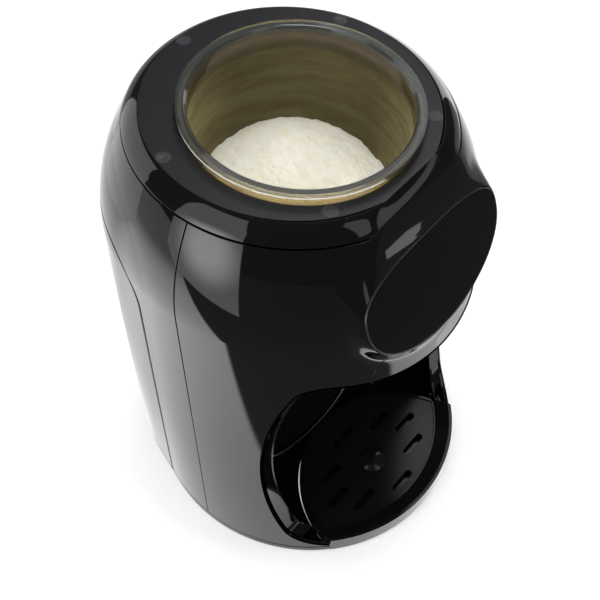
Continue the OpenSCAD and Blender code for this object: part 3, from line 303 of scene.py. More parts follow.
def coverSides(p):
    x, z = np.abs(p[:, 0]), p[:, 2]
    run, rise = coverForm["topHalf"] - coverForm["footHalf"], coverForm["topZ"] - coverForm["footZ"]
    slanted = ((x - coverForm["footHalf"]) * rise - (z - coverForm["footZ"]) * run) / math.hypot(run, rise)
    side = np.where(z < coverForm["footZ"], x - coverForm["footHalf"], slanted)
    return np.maximum(side, z - coverForm["topZ"])


def underDisplay(p, gap):
    return gap - outlineDistance(p[:, 0], p[:, 2])[0]


trayForm = {"radius": 74.2, "y": -88.0, "gap": 0.4, "topZ": 15.4}


def trayCircle(p):
    circle = np.hypot(p[:, 0], p[:, 1] - trayForm["y"]) - trayForm["radius"] - trayForm["gap"]
    return np.maximum(circle, p[:, 2] - trayForm["topZ"])


inletForm = {"y": 26.0, "z": 30.0, "halfWidth": 11.2, "halfHeight": 8.2}


def inletHole(p):
    across = np.abs(p[:, 1] - inletForm["y"]) - inletForm["halfWidth"]
    upward = np.abs(p[:, 2] - inletForm["z"]) - inletForm["halfHeight"]
    return np.where(p[:, 0] > 0, np.maximum(across, upward), 50.0)


# a smooth skin: a fine grid on a surface, trimmed by distances and closed with rounded edges
def gridFaces(rows, columns):
    index = np.arange(rows * columns).reshape(rows, columns)
    a, b = index[:-1, :-1].ravel(), index[:-1, 1:].ravel()
    c, d = index[1:, 1:].ravel(), index[1:, :-1].ravel()
    return np.concatenate([np.stack([a, b, c], 1), np.stack([a, c, d], 1)])


def ringFaces(rows, columns, flip=False):  # four-sided faces between closed rings of points
    index = np.arange(rows * columns).reshape(rows, columns)
    a, b = index[:-1], np.roll(index, -1, 1)[:-1]
    c, d = np.roll(index, -1, 1)[1:], index[1:]
    corners = (a, d, c, b) if flip else (a, b, c, d)
    return np.stack([k.ravel() for k in corners], 1)


def trimGrid(point, params, faces, distance, limit):
    # keeps the side where distance(point) <= limit, and puts new corners exactly on the line
    value = distance(point(params)) - limit
    params = list(map(tuple, params))
    inside = value <= 0
    count = inside[faces].sum(1)
    kept = faces[count == 3]
    cut = faces[(count > 0) & (count < 3)]
    edges = {}
    for face in cut:
        for k in range(3):
            a, b = int(face[k]), int(face[(k + 1) % 3])
            if inside[a] != inside[b]:
                edges.setdefault((min(a, b), max(a, b)), None)
    keys = list(edges)
    if keys:
        a = np.array([k[0] for k in keys])
        b = np.array([k[1] for k in keys])
        source = np.array(params)
        low, high = np.zeros(len(keys)), np.ones(len(keys))
        for _ in range(14):
            middle = (low + high) / 2
            spot = source[a] * (1 - middle)[:, None] + source[b] * middle[:, None]
            same = (distance(point(spot)) - limit <= 0) == inside[a]
            low, high = np.where(same, middle, low), np.where(same, high, middle)
        middle = np.clip((low + high) / 2, 0.004, 0.996)
        spot = source[a] * (1 - middle)[:, None] + source[b] * middle[:, None]
        for key, place in zip(keys, spot):
            edges[key] = len(params)
            params.append(tuple(place))
    extra = []
    for face in cut:
        loop = []
        for k in range(3):
            a, b = int(face[k]), int(face[(k + 1) % 3])
            if inside[a]:
                loop.append(a)
            if inside[a] != inside[b]:
                loop.append(edges[(min(a, b), max(a, b))])
        for k in range(1, len(loop) - 1):
            extra.append((loop[0], loop[k], loop[k + 1]))
    faces = np.concatenate([kept, np.array(extra, int).reshape(-1, 3)])
    used, faces = np.unique(faces, return_inverse=True)
    return np.array(params)[used], faces.reshape(-1, 3)


def surfaceNormals(point, params, steps):
    du = np.array([steps[0], 0.0])
    dv = np.array([0.0, steps[1]])
    across = point(params + du) - point(params - du)
    upward = point(params + dv) - point(params - dv)
    normal = np.cross(across, upward)
    return normal / np.maximum(np.linalg.norm(normal, axis=1), 1e-9)[:, None]


def openLoops(faces):
    border = {}
    for face in faces:
        for k in range(3):
            border[(int(face[k]), int(face[(k + 1) % 3]))] = True
    following = {a: b for (a, b) in border if (b, a) not in border}
    loops = []
    while following:
        start, here = next(iter(following.items()))
        loop = [start]
        del following[start]
        while here in following:
            loop.append(here)
            here = following.pop(here)
        loops.append(loop)
    return loops


def outwardDirections(points, normals, window=0.7):
    # each direction is taken over the given length of border, so short edges don't shake it
    n = len(points)
    steps = np.linalg.norm(np.roll(points, -1, 0) - points, axis=1)
    out = np.zeros((n, 3))
    for i in range(n):
        j, far = i, 0.0
        while far < window and j - i < n // 3:
            far += steps[j % n]
            j += 1
        k, near = i, 0.0
        while near < window and i - k < n // 3:
            k -= 1
            near += steps[k % n]
        ahead, behind = points[j % n] - points[i], points[i] - points[k % n]
        first = np.cross(behind / max(np.linalg.norm(behind), 1e-9), normals[i])
        second = np.cross(ahead / max(np.linalg.norm(ahead), 1e-9), normals[i])
        both = first + second
        both /= max(np.linalg.norm(both), 1e-9)
        out[i] = both / max(0.6, float(both @ (second / max(np.linalg.norm(second), 1e-9))))
    return out


def makeMesh(name, points, faces, normals=None):
    mesh = bpy.data.meshes.new(name)
    mesh.from_pydata((np.asarray(points) * mm).tolist(), [], [tuple(int(i) for i in f) for f in faces])
    mesh.polygons.foreach_set("use_smooth", np.ones(len(mesh.polygons), bool))
    if normals is not None:
        mesh.normals_split_custom_set_from_vertices(np.asarray(normals).tolist())
    mesh.update()
    piece = bpy.data.objects.new(name, mesh)
    scene.collection.objects.link(piece)
    return piece


def makeSkin(name, point, uValues, vValues, trims, edge=0.6, thick=2.5, steps=(0.002, 0.05), borders=None):
    surface = lambda q: point(q[:, 0], q[:, 1])
    u, v = np.meshgrid(uValues, vValues)
    params = np.stack([u.ravel(), v.ravel()], 1)
    faces = gridFaces(len(vValues), len(uValues))
    for distance in trims:
        params, faces = trimGrid(surface, params, faces, distance, -edge)
    outer = surface(params)
    normal = surfaceNormals(surface, params, steps)
    total = len(outer)
    points, normals = [outer, outer - normal * thick], [normal, -normal]
    allFaces = [faces, faces[:, ::-1] + total]
    base = 2 * total
    bends = np.radians([0, 22.5, 45, 67.5, 90])
    for loop in openLoops(faces):
        loop = np.array(loop)
        p, n = outer[loop], normal[loop]
        out = outwardDirections(p, n)
        length = len(loop)
        if borders is not None:
            borders.append((p, n, out))
        rings = []
        for b in bends:
            ring = p + out * edge * math.sin(b) - n * edge * (1 - math.cos(b))
            rings.append((ring, n * math.cos(b) + out * math.sin(b)))
        rings.append((p + out * edge - n * thick, out))
        rings.append((p + out * edge - n * thick, -n))
        rings.append((p - n * thick, -n))
        for ring, direction in rings:
            points.append(ring)
            normals.append(direction / np.linalg.norm(direction, axis=1)[:, None])
        for k in range(len(rings) - 1):
            if k == len(bends):
                continue
            i = np.arange(length)
            j = (i + 1) % length
            a, b = base + k * length + i, base + k * length + j
            c, d = b + length, a + length
            allFaces.append(np.stack([a, d, b], 1))
            allFaces.append(np.stack([b, d, c], 1))
        base += len(rings) * length
    return makeMesh(name, np.concatenate(points), np.concatenate(allFaces), np.concatenate(normals))


def makeBead(name, borders, distance, edge, radius, lift):
    # a round bead along the parts of a skin's borders that lie on one opening
    points, normals, faces = [], [], []
    turns = np.linspace(0, 2 * math.pi, 12, endpoint=False)
    base = 0
    for p, n, out in borders:
        near = np.abs(distance(p) - edge) < 0.12
        if not near.any():
            continue
        start = int(np.argmin(near))
        order = np.roll(np.arange(len(p)), -start)
        runs, run = [], []
        for i in order:
            if near[i]:
                run.append(i)
            elif run:
                runs.append(run)
                run = []
        if run:
            runs.append(run)
        for run in runs:
            if len(run) < 12:
                continue
            middle = p[run] + out[run] * edge * 0.6 + n[run] * lift
            for a in turns:
                direction = n[run] * math.cos(a) + out[run] * math.sin(a)
                points.append(middle + direction * radius)
                normals.append(direction)
            count = len(run)
            index = base + np.arange(len(turns) * count).reshape(len(turns), count)
            a0, b0 = index[:, :-1], index[:, 1:]
            c0, d0 = np.roll(index, -1, 0)[:, 1:], np.roll(index, -1, 0)[:, :-1]
            faces += np.stack([a0.ravel(), b0.ravel(), c0.ravel(), d0.ravel()], 1).tolist()
            faces += [index[:, 0].tolist(), index[::-1, -1].tolist()]
            base += len(turns) * count
    return makeMesh(name, np.concatenate(points), faces, np.concatenate(normals))


def pulledCopy(name, node, depth=0.6):
    # a copy of a CAD node whose outermost points are drawn in under a smooth skin
    piece = nodes[node].copy()
    piece.data = nodes[node].data.copy()
    piece.name = piece.data.name = name
    piece.parent = None
    for key in list(piece.keys()):
        del piece[key]
    scene.collection.objects.link(piece)
    points = np.zeros(len(piece.data.vertices) * 3)
    piece.data.vertices.foreach_get("co", points)
    points = points.reshape(-1, 3) / mm
    gap = planDistance(points[:, 0], points[:, 1], points[:, 2])
    shift = np.where(np.abs(gap) < 0.35, depth, 0)
    away = points[:, :2] - np.array([0, bodyForm["axisY"]])
    away /= np.linalg.norm(away, axis=1)[:, None]
    points[:, :2] -= away * shift[:, None]
    piece.data.vertices.foreach_set("co", (points * mm).ravel())
    piece.data.update()
    return piece


# materials
def addNode(tree, kind, inputs=None, **values):
    node = tree.nodes.new(kind)
    for key, value in values.items():
        setattr(node, key, value)
    for key, value in (inputs or {}).items():
        node.inputs[key].default_value = value
    return node


def newMaterial(name, **sockets):
    material = bpy.data.materials.new(name)
    material.use_nodes = True
    tree = material.node_tree
    shader = tree.nodes["Principled BSDF"]
    for key, value in sockets.items():
        shader.inputs[key].default_value = value
    return material, tree, shader


def objectPlace(tree):
    return addNode(tree, "ShaderNodeTexCoord").outputs["Object"]


def noiseField(tree, vector, scale, detail, roughness=0.5):
    node = addNode(tree, "ShaderNodeTexNoise", {"Scale": scale, "Detail": detail, "Roughness": roughness})
    tree.links.new(vector, node.inputs["Vector"])
    return node.outputs["Fac"]


def ramp(tree, value, low, high, fromLevel=0.0, toLevel=1.0, smooth=False):
    levels = {"From Min": low, "From Max": high, "To Min": fromLevel, "To Max": toLevel}
    kind = "SMOOTHSTEP" if smooth else "LINEAR"
    node = addNode(tree, "ShaderNodeMapRange", levels, interpolation_type=kind)
    tree.links.new(value, node.inputs["Value"])
    return node.outputs["Result"]


def combine(tree, operation, a, b):
    node = addNode(tree, "ShaderNodeMath", operation=operation)
    tree.links.new(a, node.inputs[0])
    tree.links.new(b, node.inputs[1])
    return node.outputs[0]


def alongDirection(tree, vector, direction):
    node = addNode(tree, "ShaderNodeVectorMath", {1: direction}, operation="DOT_PRODUCT")
    tree.links.new(vector, node.inputs[0])
    return node.outputs["Value"]


def mixColors(tree, factor, a, b):  # a and b are colours, or sockets that give one
    node = addNode(tree, "ShaderNodeMix", data_type="RGBA")
    tree.links.new(factor, node.inputs["Factor"])
    for key, color in (("A", a), ("B", b)):
        if isinstance(color, tuple):
            node.inputs[key].default_value = (*color, 1)
        else:
            tree.links.new(color, node.inputs[key])
    return node.outputs["Result"]


def heightOf(tree, vector):
    split = addNode(tree, "ShaderNodeSeparateXYZ")
    tree.links.new(vector, split.inputs["Vector"])
    return split.outputs["Z"]


def addBump(tree, shader, height, strength, distance):
    bump = addNode(tree, "ShaderNodeBump", {"Strength": strength, "Distance": distance})
    tree.links.new(height, bump.inputs["Height"])
    tree.links.new(bump.outputs["Normal"], shader.inputs["Normal"])


def addGroup(name, inputs, outputs):
    group = bpy.data.node_groups.new(name, "ShaderNodeTree")
    for label, value in inputs.items():
        kind = "NodeSocketColor" if isinstance(value, tuple) else "NodeSocketFloat"
        group.interface.new_socket(label, in_out="INPUT", socket_type=kind).default_value = value
    for label, kind in outputs.items():
        group.interface.new_socket(label, in_out="OUTPUT", socket_type=kind)
    return group, group.nodes.new("NodeGroupInput"), group.nodes.new("NodeGroupOutput")


def mouldedSkinGroup():
    # fine orange peel for the bump, and faint hand smudges for the roughness
    inputs = {"Scale": 260.0, "Smudge Scale": 9.0, "Roughness Low": 0.05, "Roughness High": 0.12}
    outputs = {"Height": "NodeSocketFloat", "Roughness": "NodeSocketFloat"}
    group, start, end = addGroup("mouldedSkin", inputs, outputs)
    place = objectPlace(group)
    peel = addNode(group, "ShaderNodeTexNoise", {"Detail": 2})
    smudge = addNode(group, "ShaderNodeTexNoise", {"Detail": 5, "Roughness": 0.6})
    spread = addNode(group, "ShaderNodeMapRange", {"From Min": 0.4, "From Max": 0.75})
    link = group.links.new
    link(place, peel.inputs["Vector"])
    link(place, smudge.inputs["Vector"])
    link(start.outputs["Scale"], peel.inputs["Scale"])
    link(start.outputs["Smudge Scale"], smudge.inputs["Scale"])
    link(smudge.outputs["Fac"], spread.inputs["Value"])
    link(start.outputs["Roughness Low"], spread.inputs["To Min"])
    link(start.outputs["Roughness High"], spread.inputs["To Max"])
    link(peel.outputs["Fac"], end.inputs["Height"])
    link(spread.outputs["Result"], end.inputs["Roughness"])
    return group


def settledDustGroup():
    # pale specks that settle on faces that look up
    inputs = {"Color": (0.02, 0.02, 0.02, 1), "Dust Color": (0.5, 0.5, 0.48, 1), "Amount": 0.06}
    group, start, end = addGroup("settledDust", inputs, {"Color": "NodeSocketColor"})
    facing = addNode(group, "ShaderNodeNewGeometry").outputs["Normal"]
    upward = ramp(group, heightOf(group, facing), 0.4, 1.0)
    specks = ramp(group, noiseField(group, objectPlace(group), 900, 3), 0.62, 0.72)
    amount = combine(group, "MULTIPLY", combine(group, "MULTIPLY", specks, upward), start.outputs["Amount"])
    dusty = mixColors(group, amount, start.outputs["Color"], start.outputs["Dust Color"])
    group.links.new(dusty, end.inputs["Color"])
    return group


mouldedSkin = mouldedSkinGroup()
settledDust = settledDustGroup()
glossPeel, glossDust = 260.0, (0.5, 0.5, 0.48)


def addSkin(tree, shader, low, high, scale=glossPeel):
    inputs = {"Scale": scale, "Roughness Low": low, "Roughness High": high}
    skin = tree.nodes.new("ShaderNodeGroup")
    skin.node_tree = mouldedSkin
    for key, value in inputs.items():
        skin.inputs[key].default_value = value
    tree.links.new(skin.outputs["Roughness"], shader.inputs["Roughness"])
    return skin.outputs["Height"]


def makePlastic(name, color, low, high, peel=0.0, peelScale=glossPeel, dust=0.05, **sockets):
    material, tree, shader = newMaterial(name, **sockets)
    height = addSkin(tree, shader, low, high, peelScale)
    if peel:
        addBump(tree, shader, height, peel, 0.0004)
    settled = tree.nodes.new("ShaderNodeGroup")
    settled.node_tree = settledDust
    settled.inputs["Color"].default_value = (*color, 1)
    settled.inputs["Dust Color"].default_value = (*glossDust, 1)
    settled.inputs["Amount"].default_value = dust
    tree.links.new(settled.outputs["Color"], shader.inputs["Base Color"])
    return material


def makeMetal(name, color, roughness, streaks=(1.0, 1.0, 18.0)):
    material, tree, shader = newMaterial(name, Metallic=1.0)
    stretch = addNode(tree, "ShaderNodeMapping", {"Scale": streaks})
    tree.links.new(objectPlace(tree), stretch.inputs["Vector"])
    grain = noiseField(tree, stretch.outputs["Vector"], 220, 4)
    tint = mixColors(tree, grain, tuple(c * 0.8 for c in color), color)
    rough = ramp(tree, grain, 0.0, 1.0, roughness * 0.75, roughness * 1.3)
    tree.links.new(tint, shader.inputs["Base Color"])
    tree.links.new(rough, shader.inputs["Roughness"])
    addBump(tree, shader, grain, 0.15, 0.0002)
    return material


def makeBoard(name):
    material, tree, shader = newMaterial(name, Roughness=0.35)
    cells = addNode(tree, "ShaderNodeTexVoronoi", {"Scale": 320}, distance="MANHATTAN")
    tree.links.new(objectPlace(tree), cells.inputs["Vector"])
    traces = ramp(tree, cells.outputs["Distance"], 0.45, 0.5)
    tint = mixColors(tree, traces, (0.02, 0.13, 0.06), (0.05, 0.26, 0.13))
    tree.links.new(tint, shader.inputs["Base Color"])
    return material


hopperLook = {
    "wall": (0.76, 0.60, 0.34),
    "rim": (0.42, 0.45, 0.43),
    "rimZ": 0.3050,
    "rimBlend": 0.0005,
    "film": (0.58, 0.52, 0.27),
    "filmDeep": (0.36, 0.30, 0.14),
    "filmPaintedShade": (0.05, 0.038, 0.014),  # painted shade: what the film darkens to away from the window lamp
    "filmTop": 0.295,
    "filmFade": 0.004,
    # the painted shade deepens along this direction, and reaches its full share at the given reach
    "away": (0.82, 0.57, 0),
    "paintedShadeReach": 0.062,
    "paintedShadeShare": 0.72,
}


def makeHopperWall():
    material, tree, shader = newMaterial("smokyHopper", **{"Transmission Weight": 0.92, "IOR": 1.49})
    z, blend = hopperLook["rimZ"], hopperLook["rimBlend"]
    mask = ramp(tree, heightOf(tree, objectPlace(tree)), z - blend, z + blend)
    tint = mixColors(tree, mask, hopperLook["wall"], hopperLook["rim"])
    addSkin(tree, shader, 0.03, 0.12)
    tree.links.new(tint, shader.inputs["Base Color"])
    return material


def makeDustFilmAndPaintedShade():
    look = {"Roughness": 0.75, "Specular IOR Level": 0.2}
    material, tree, shader = newMaterial("powderFilmAndPaintedShade", **look)
    place = objectPlace(tree)
    bands = addNode(tree, "ShaderNodeMapping", {"Scale": (1, 1, 6)})
    tree.links.new(place, bands.inputs["Vector"])
    streaks = noiseField(tree, bands.outputs["Vector"], 18, 6, 0.65)
    patches = noiseField(tree, place, 26, 8)
    tint = mixColors(tree, ramp(tree, streaks, 0.38, 0.6), hopperLook["filmDeep"], hopperLook["film"])
    z, fade = hopperLook["filmTop"], hopperLook["filmFade"]
    top = ramp(tree, heightOf(tree, place), z + fade, z - fade)
    cover = ramp(tree, patches, 0.3, 0.62, 0.8, 0.98)
    # painted shade: the film's colour darkens away from the window lamp, towards the back of the hopper
    away = alongDirection(tree, place, hopperLook["away"])
    shade = ramp(tree, away, 0.0, hopperLook["paintedShadeReach"], 0.0, hopperLook["paintedShadeShare"])
    tree.links.new(mixColors(tree, shade, tint, hopperLook["filmPaintedShade"]), shader.inputs["Base Color"])
    tree.links.new(combine(tree, "MULTIPLY", cover, top), shader.inputs["Alpha"])
    return material


def makePowder():
    look = {"Roughness": 0.9, "Specular IOR Level": 0.15, "Subsurface Weight": 0.25}
    look.update({"Subsurface Scale": 0.004, "Subsurface Radius": (1.0, 0.8, 0.5)})
    material, tree, shader = newMaterial("ivoryPowder", **look)
    crumbs = noiseField(tree, objectPlace(tree), 160, 8, 0.7)
    tint = mixColors(tree, ramp(tree, crumbs, 0.3, 0.6), (0.88, 0.84, 0.66), (0.95, 0.93, 0.85))
    tree.links.new(tint, shader.inputs["Base Color"])
    addBump(tree, shader, crumbs, 0.7, 0.0012)
    return material


glassLook = {"Transmission Weight": 0.7, "IOR": 1.49}

gloss = (0.0040, 0.0036, 0.0028)
trayGloss, grilleGloss = (0.007, 0.007, 0.0068), (0.008, 0.008, 0.0075)
glassBlack = (0.0014, 0.0013, 0.0010)
inletGrey = (0.018, 0.018, 0.018)
dullGlass = {"Specular IOR Level": 0.3}
satinPeel = {"peelScale": 1400, "dust": 0.05}
trayPeel = {"peelScale": 1200, "dust": 0.006}
looks = {
    "shell_gloss": makePlastic("pianoBlack", gloss, 0.03, 0.07, dust=0.01),
    "bay_gloss": makePlastic("pianoBlackLiner", gloss, 0.04, 0.10, dust=0.02),
    "base_black": makePlastic("pianoBlackBase", gloss, 0.05, 0.10, dust=0.02),
    "plate_satin": makePlastic("satinPlate", (0.013, 0.0134, 0.0155), 0.30, 0.38, peel=0.12, **satinPeel),
    "plug_satin": makePlastic("satinPlug", (0.040, 0.041, 0.045), 0.30, 0.40, peel=0.1, **satinPeel),
    "display_glass": makePlastic("displayGlass", glassBlack, 0.12, 0.18, dust=0.005, **dullGlass),
    "display_edge": makePlastic("edgeGrey", (0.034, 0.034, 0.036), 0.2, 0.3, dust=0.01),
    "circuit_board": makeBoard("greenBoard"),
    "inner_black": makePlastic("innerBlack", (0.02, 0.02, 0.022), 0.4, 0.55, peel=0.2, peelScale=900),
    "steel": makeMetal("plainSteel", (0.56, 0.57, 0.58), 0.3),
    "motor_metal": makeMetal("castHousing", (0.42, 0.43, 0.45), 0.42, streaks=(1, 1, 1)),
    "bearing_bronze": makeMetal("sinteredBronze", (0.55, 0.40, 0.20), 0.4, streaks=(1, 1, 1)),
    "gear_white": makePlastic("whiteAcetal", (0.75, 0.74, 0.70), 0.3, 0.45, peel=0.1, peelScale=700),
    "pump_grey": makePlastic("pumpBody", (0.10, 0.11, 0.12), 0.35, 0.5, peel=0.2, peelScale=900),
    "hose_clear": makePlastic("siliconeHose", (0.66, 0.66, 0.60), 0.25, 0.4, peel=0.05, peelScale=500),
    "spout_grey": makePlastic("spoutGrey", (0.08, 0.085, 0.09), 0.3, 0.45, peel=0.1, peelScale=900),
    "hopper_smoke": makeHopperWall(),
    "powder_ivory": makePowder(),
    "dose_grey": makePlastic("dosingParts", (0.52, 0.50, 0.45), 0.35, 0.5, peel=0.1, peelScale=900),
    "drawer_gloss": makePlastic("pianoBlackCover", (0.006, 0.0055, 0.005), 0.05, 0.10, dust=0.02),
    "funnel_smoke": makePlastic("clearFunnel", (0.75, 0.75, 0.72), 0.08, 0.16, dust=0.03, **glassLook),
    "tray_satin": makePlastic("trayBlack", trayGloss, 0.10, 0.16, peel=0.04, **trayPeel),
    "grille_satin": makePlastic("grilleBlack", grilleGloss, 0.16, 0.24, peel=0.05, **trayPeel),
    "tank_smoke": makePlastic("tankBlack", gloss, 0.03, 0.07, dust=0.01),
    "lid_grey": makePlastic("lidGrey", (0.045, 0.047, 0.052), 0.3, 0.45, peel=0.1, peelScale=900),
    "rubber_black": makePlastic("blackRubber", (0.025, 0.025, 0.025), 0.6, 0.8, peel=0.3, peelScale=600),
    "inlet_black": makePlastic("inletBlack", inletGrey, 0.4, 0.55, peel=0.15, peelScale=900),
}
slotOf = {part["node"]: part["material_slot"] for part in frame["record"]["subparts"]}


def dress(piece, slot):
    piece.data.materials.clear()
    piece.data.materials.append(looks[slot])


for name, node in nodes.items():
    for k in range(max(1, len(node.material_slots))):
        if not node.material_slots:
            node.data.materials.append(None)
        node.material_slots[k].material = looks[slotOf[name]]
print("materials assigned to", len(nodes), "nodes")


def finishPiece(piece, node, body, slot=None):
    dress(piece, slot or slotOf[node])
    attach(piece, body)
    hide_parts(node)


# outer shells
skinGrid = {
    "round": 1.2,
    "upright": 1.6,
    "fine": 0.6,
    "fineZ": (204, 275),
    "edge": 0.45,
    "frontAngle": 1.95,  # the front skin's reach each way, and where the rear ones start
    "rearAngle": 1.05,
    "tankAngle": 0.9,
    "displayGap": 0.15,
}
nowhere = (999, 999)


def heights(low, high, fineZ=nowhere):
    values = []
    z = low
    while z < high - 0.3:
        values.append(z)
        z += skinGrid["fine"] if fineZ[0] < z < fineZ[1] else skinGrid["upright"]
    return np.array(values + [high])


def angles(low, high, step=skinGrid["round"]):
    count = int(abs(high - low) / (step / 110)) + 1
    return np.linspace(low, high, count)


def rearAngles(start):
    return angles(start, 2 * math.pi - start)


edge = skinGrid["edge"]
shellLow = bodyForm["plinthZ"] + bodyForm["seam"] + edge
shellHigh = bodyForm["capSeamZ"] - bodyForm["seam"] / 2 - edge
half = bodyForm["seam"] / 2
frontTrims = [
    lambda p: sideSeam(p) + half,
    lambda p: -bayWindow(p),
    lambda p: -trayCircle(p),
    lambda p: underDisplay(p, displayForm["bezel"] + skinGrid["displayGap"]),
    lambda p: -np.maximum(coverSides(p) - coverForm["gap"], underDisplay(p, coverForm["bridge"])),
]
frontBorders = []
frontAngles = angles(-skinGrid["frontAngle"], skinGrid["frontAngle"])
frontHeights = heights(shellLow, shellHigh, skinGrid["fineZ"])
frontSkin = makeSkin(
    "frontShellSkin", bodyPoint, frontAngles, frontHeights, frontTrims, edge, borders=frontBorders
)
finishPiece(frontSkin, "front_shell", "housing")
rearTrims = [
    lambda p: -sideSeam(p) + half,
    lambda p: -tankSide(p),
    lambda p: -inletHole(p),
]
plainBody = lambda t, z: bodyPoint(t, z, plain=True)
rearGrid = (rearAngles(skinGrid["rearAngle"]), heights(shellLow, shellHigh))
rearSkin = makeSkin("rearShellSkin", plainBody, *rearGrid, rearTrims, edge)
finishPiece(rearSkin, "rear_shell", "housing")
print("shells built", len(frontSkin.data.polygons) + len(rearSkin.data.polygons), "faces")

tankTrims = [lambda p: tankSide(p) + tankForm["gap"]]
tankGrid = (rearAngles(skinGrid["tankAngle"]), heights(shellLow, tankForm["highZ"]))
tankSkin = makeSkin("tankSkin", plainBody, *tankGrid, tankTrims, tankForm["edge"], tankForm["wall"])
tankInner = pulledCopy("tankInner", "water_tank")
finishPiece(tankSkin, "water_tank", "tank")
finishPiece(tankInner, "water_tank", "tank")
print("tank built")

capLow = math.asin((bodyForm["capSeamZ"] + half + edge - capForm["turnZ"]) / capForm["round"])
capHigh = math.acos((capForm["holeRadius"] + edge - capForm["turnRadius"]) / capForm["round"])
capAngles = np.linspace(-math.pi, math.pi, capForm["columns"])


def makeCap():
    liftValues = np.linspace(capLow, capHigh, capForm["rows"])
    u, v = np.meshgrid(capAngles[:-1], liftValues)
    outer = capPoint(u.ravel(), v.ravel())
    params = np.stack([u.ravel(), v.ravel()], 1)
    surface = lambda q: capPoint(q[:, 0], q[:, 1])
    normal = surfaceNormals(surface, params, (0.002, 0.002))
    rows, columns = len(liftValues), len(capAngles) - 1
    p, n = outer.reshape(rows, columns, 3), normal.reshape(rows, columns, 3)
    rings, turned = list(p), list(n)

    def outAlong(row, sign):
        along = np.roll(p[row], -1, 0) - np.roll(p[row], 1, 0)
        out = np.cross(along, n[row]) * sign
        return out / np.linalg.norm(out, axis=1)[:, None]

    low, high = outAlong(0, 1), outAlong(-1, -1)
    for b in np.radians([30, 60, 90]):
        rings.insert(0, p[0] + low * edge * math.sin(b) - n[0] * edge * (1 - math.cos(b)))
        turned.insert(0, n[0] * math.cos(b) + low * math.sin(b))
        rings.append(p[-1] + high * edge * math.sin(b) - n[-1] * edge * (1 - math.cos(b)))
        turned.append(n[-1] * math.cos(b) + high * math.sin(b))
    rings.insert(0, p[0] + low * edge - n[0] * 2.5)
    turned.insert(0, low)
    rings.append(p[-1] + high * edge - n[-1] * 2.0)
    turned.append(high)
    faces = ringFaces(len(rings), columns)
    return makeMesh("capSkin", np.concatenate(rings), faces, np.concatenate(turned))


capSkin = makeCap()
finishPiece(capSkin, "top_cap", "housing")
print("cap built")

coverTrims = [
    coverSides,
    lambda p: underDisplay(p, coverForm["bridge"] + coverForm["gap"]),
    lambda p: -bayWindow(p),
]
coverBorders = []
coverAngles = angles(-coverForm["angle"], coverForm["angle"], coverForm["step"])
coverHeights = heights(*coverForm["zRange"], (0, coverForm["zRange"][1]))
coverSkin = makeSkin(
    "coverSkin", bodyPoint, coverAngles, coverHeights, coverTrims, edge, borders=coverBorders
)
coverInner = pulledCopy("coverInner", "funnel_drawer")
finishPiece(coverSkin, "funnel_drawer", "funnel")
finishPiece(coverInner, "funnel_drawer", "funnel")
# painted highlight: light grey beads along the bay's edge stand for the bright line that the rounded edge of
# the black shell catches from the lamps
beadForm = {"radius": 0.62, "lift": -0.1, "color": (0.32, 0.32, 0.325)}
beadPaintedHighlight = makePlastic("paintedEdgeHighlight", beadForm["color"], 0.3, 0.4, dust=0.01)
beads = {
    "bayBead": (frontBorders, "front_shell", "housing"),
    "coverBead": (coverBorders, "funnel_drawer", "funnel"),
}
for name, (borders, node, body) in beads.items():
    bead = makeBead(name, borders, bayWindow, edge, beadForm["radius"], beadForm["lift"])
    finishPiece(bead, node, body, "display_edge")
    bead.data.materials[0] = beadPaintedHighlight
print("funnel cover and beads built")

plinthForm = {"heights": (2.0, 3.2, 4.4, 5.5), "edge": 0.5, "wall": 2}
plinthGrid = (angles(-math.pi, math.pi), np.array(plinthForm["heights"]))
plinthTrims = [lambda p: -trayCircle(p)]
plinthEdge = (plinthForm["edge"], plinthForm["wall"])
plinthSkin = makeSkin("plinthSkin", plainBody, *plinthGrid, plinthTrims, *plinthEdge)
baseInner = pulledCopy("baseInner", "base_plate")
finishPiece(plinthSkin, "base_plate", "housing")
finishPiece(baseInner, "base_plate", "housing")
print("plinth built")


# bay liner and bezel
linerForm = {
    "trayRadius": 74.6,
    "cutZ": 39.0,
    "lowZ": 7.6,
    "highZ": 187.0,
    "cheekStep": 1.8,
    "cheekAngle": 2.0,
    "backStep": 3.0,
    "backHalf": 110,
    "backColumns": 111,
    "middle": (-100.0, 80.0),  # a point inside the bay's outline, in side view
    "turn": (-1.05, 0.86),  # how far round that point the outline is followed
    "turnSteps": 220,
    "farthest": 160.0,
    "land": 2.4,
    "overlap": 1.2,
    "edge": 0.05,
    "wall": 1.5,
}
backCentre = bayForm["backY"] - bayForm["backRadius"]


def linerTray(p):
    circle = np.hypot(p[:, 0], p[:, 1] - trayForm["y"]) - linerForm["trayRadius"]
    return -np.maximum(circle, p[:, 2] - linerForm["cutZ"])


def cheekPoint(t, z):
    return bodyPoint(-t, z, bayForm["cheek"], True)


def backPoint(x, z):
    y = backCentre + np.sqrt(bayForm["backRadius"] ** 2 - x * x)
    return np.stack([x, y, z + 0 * x], -1)


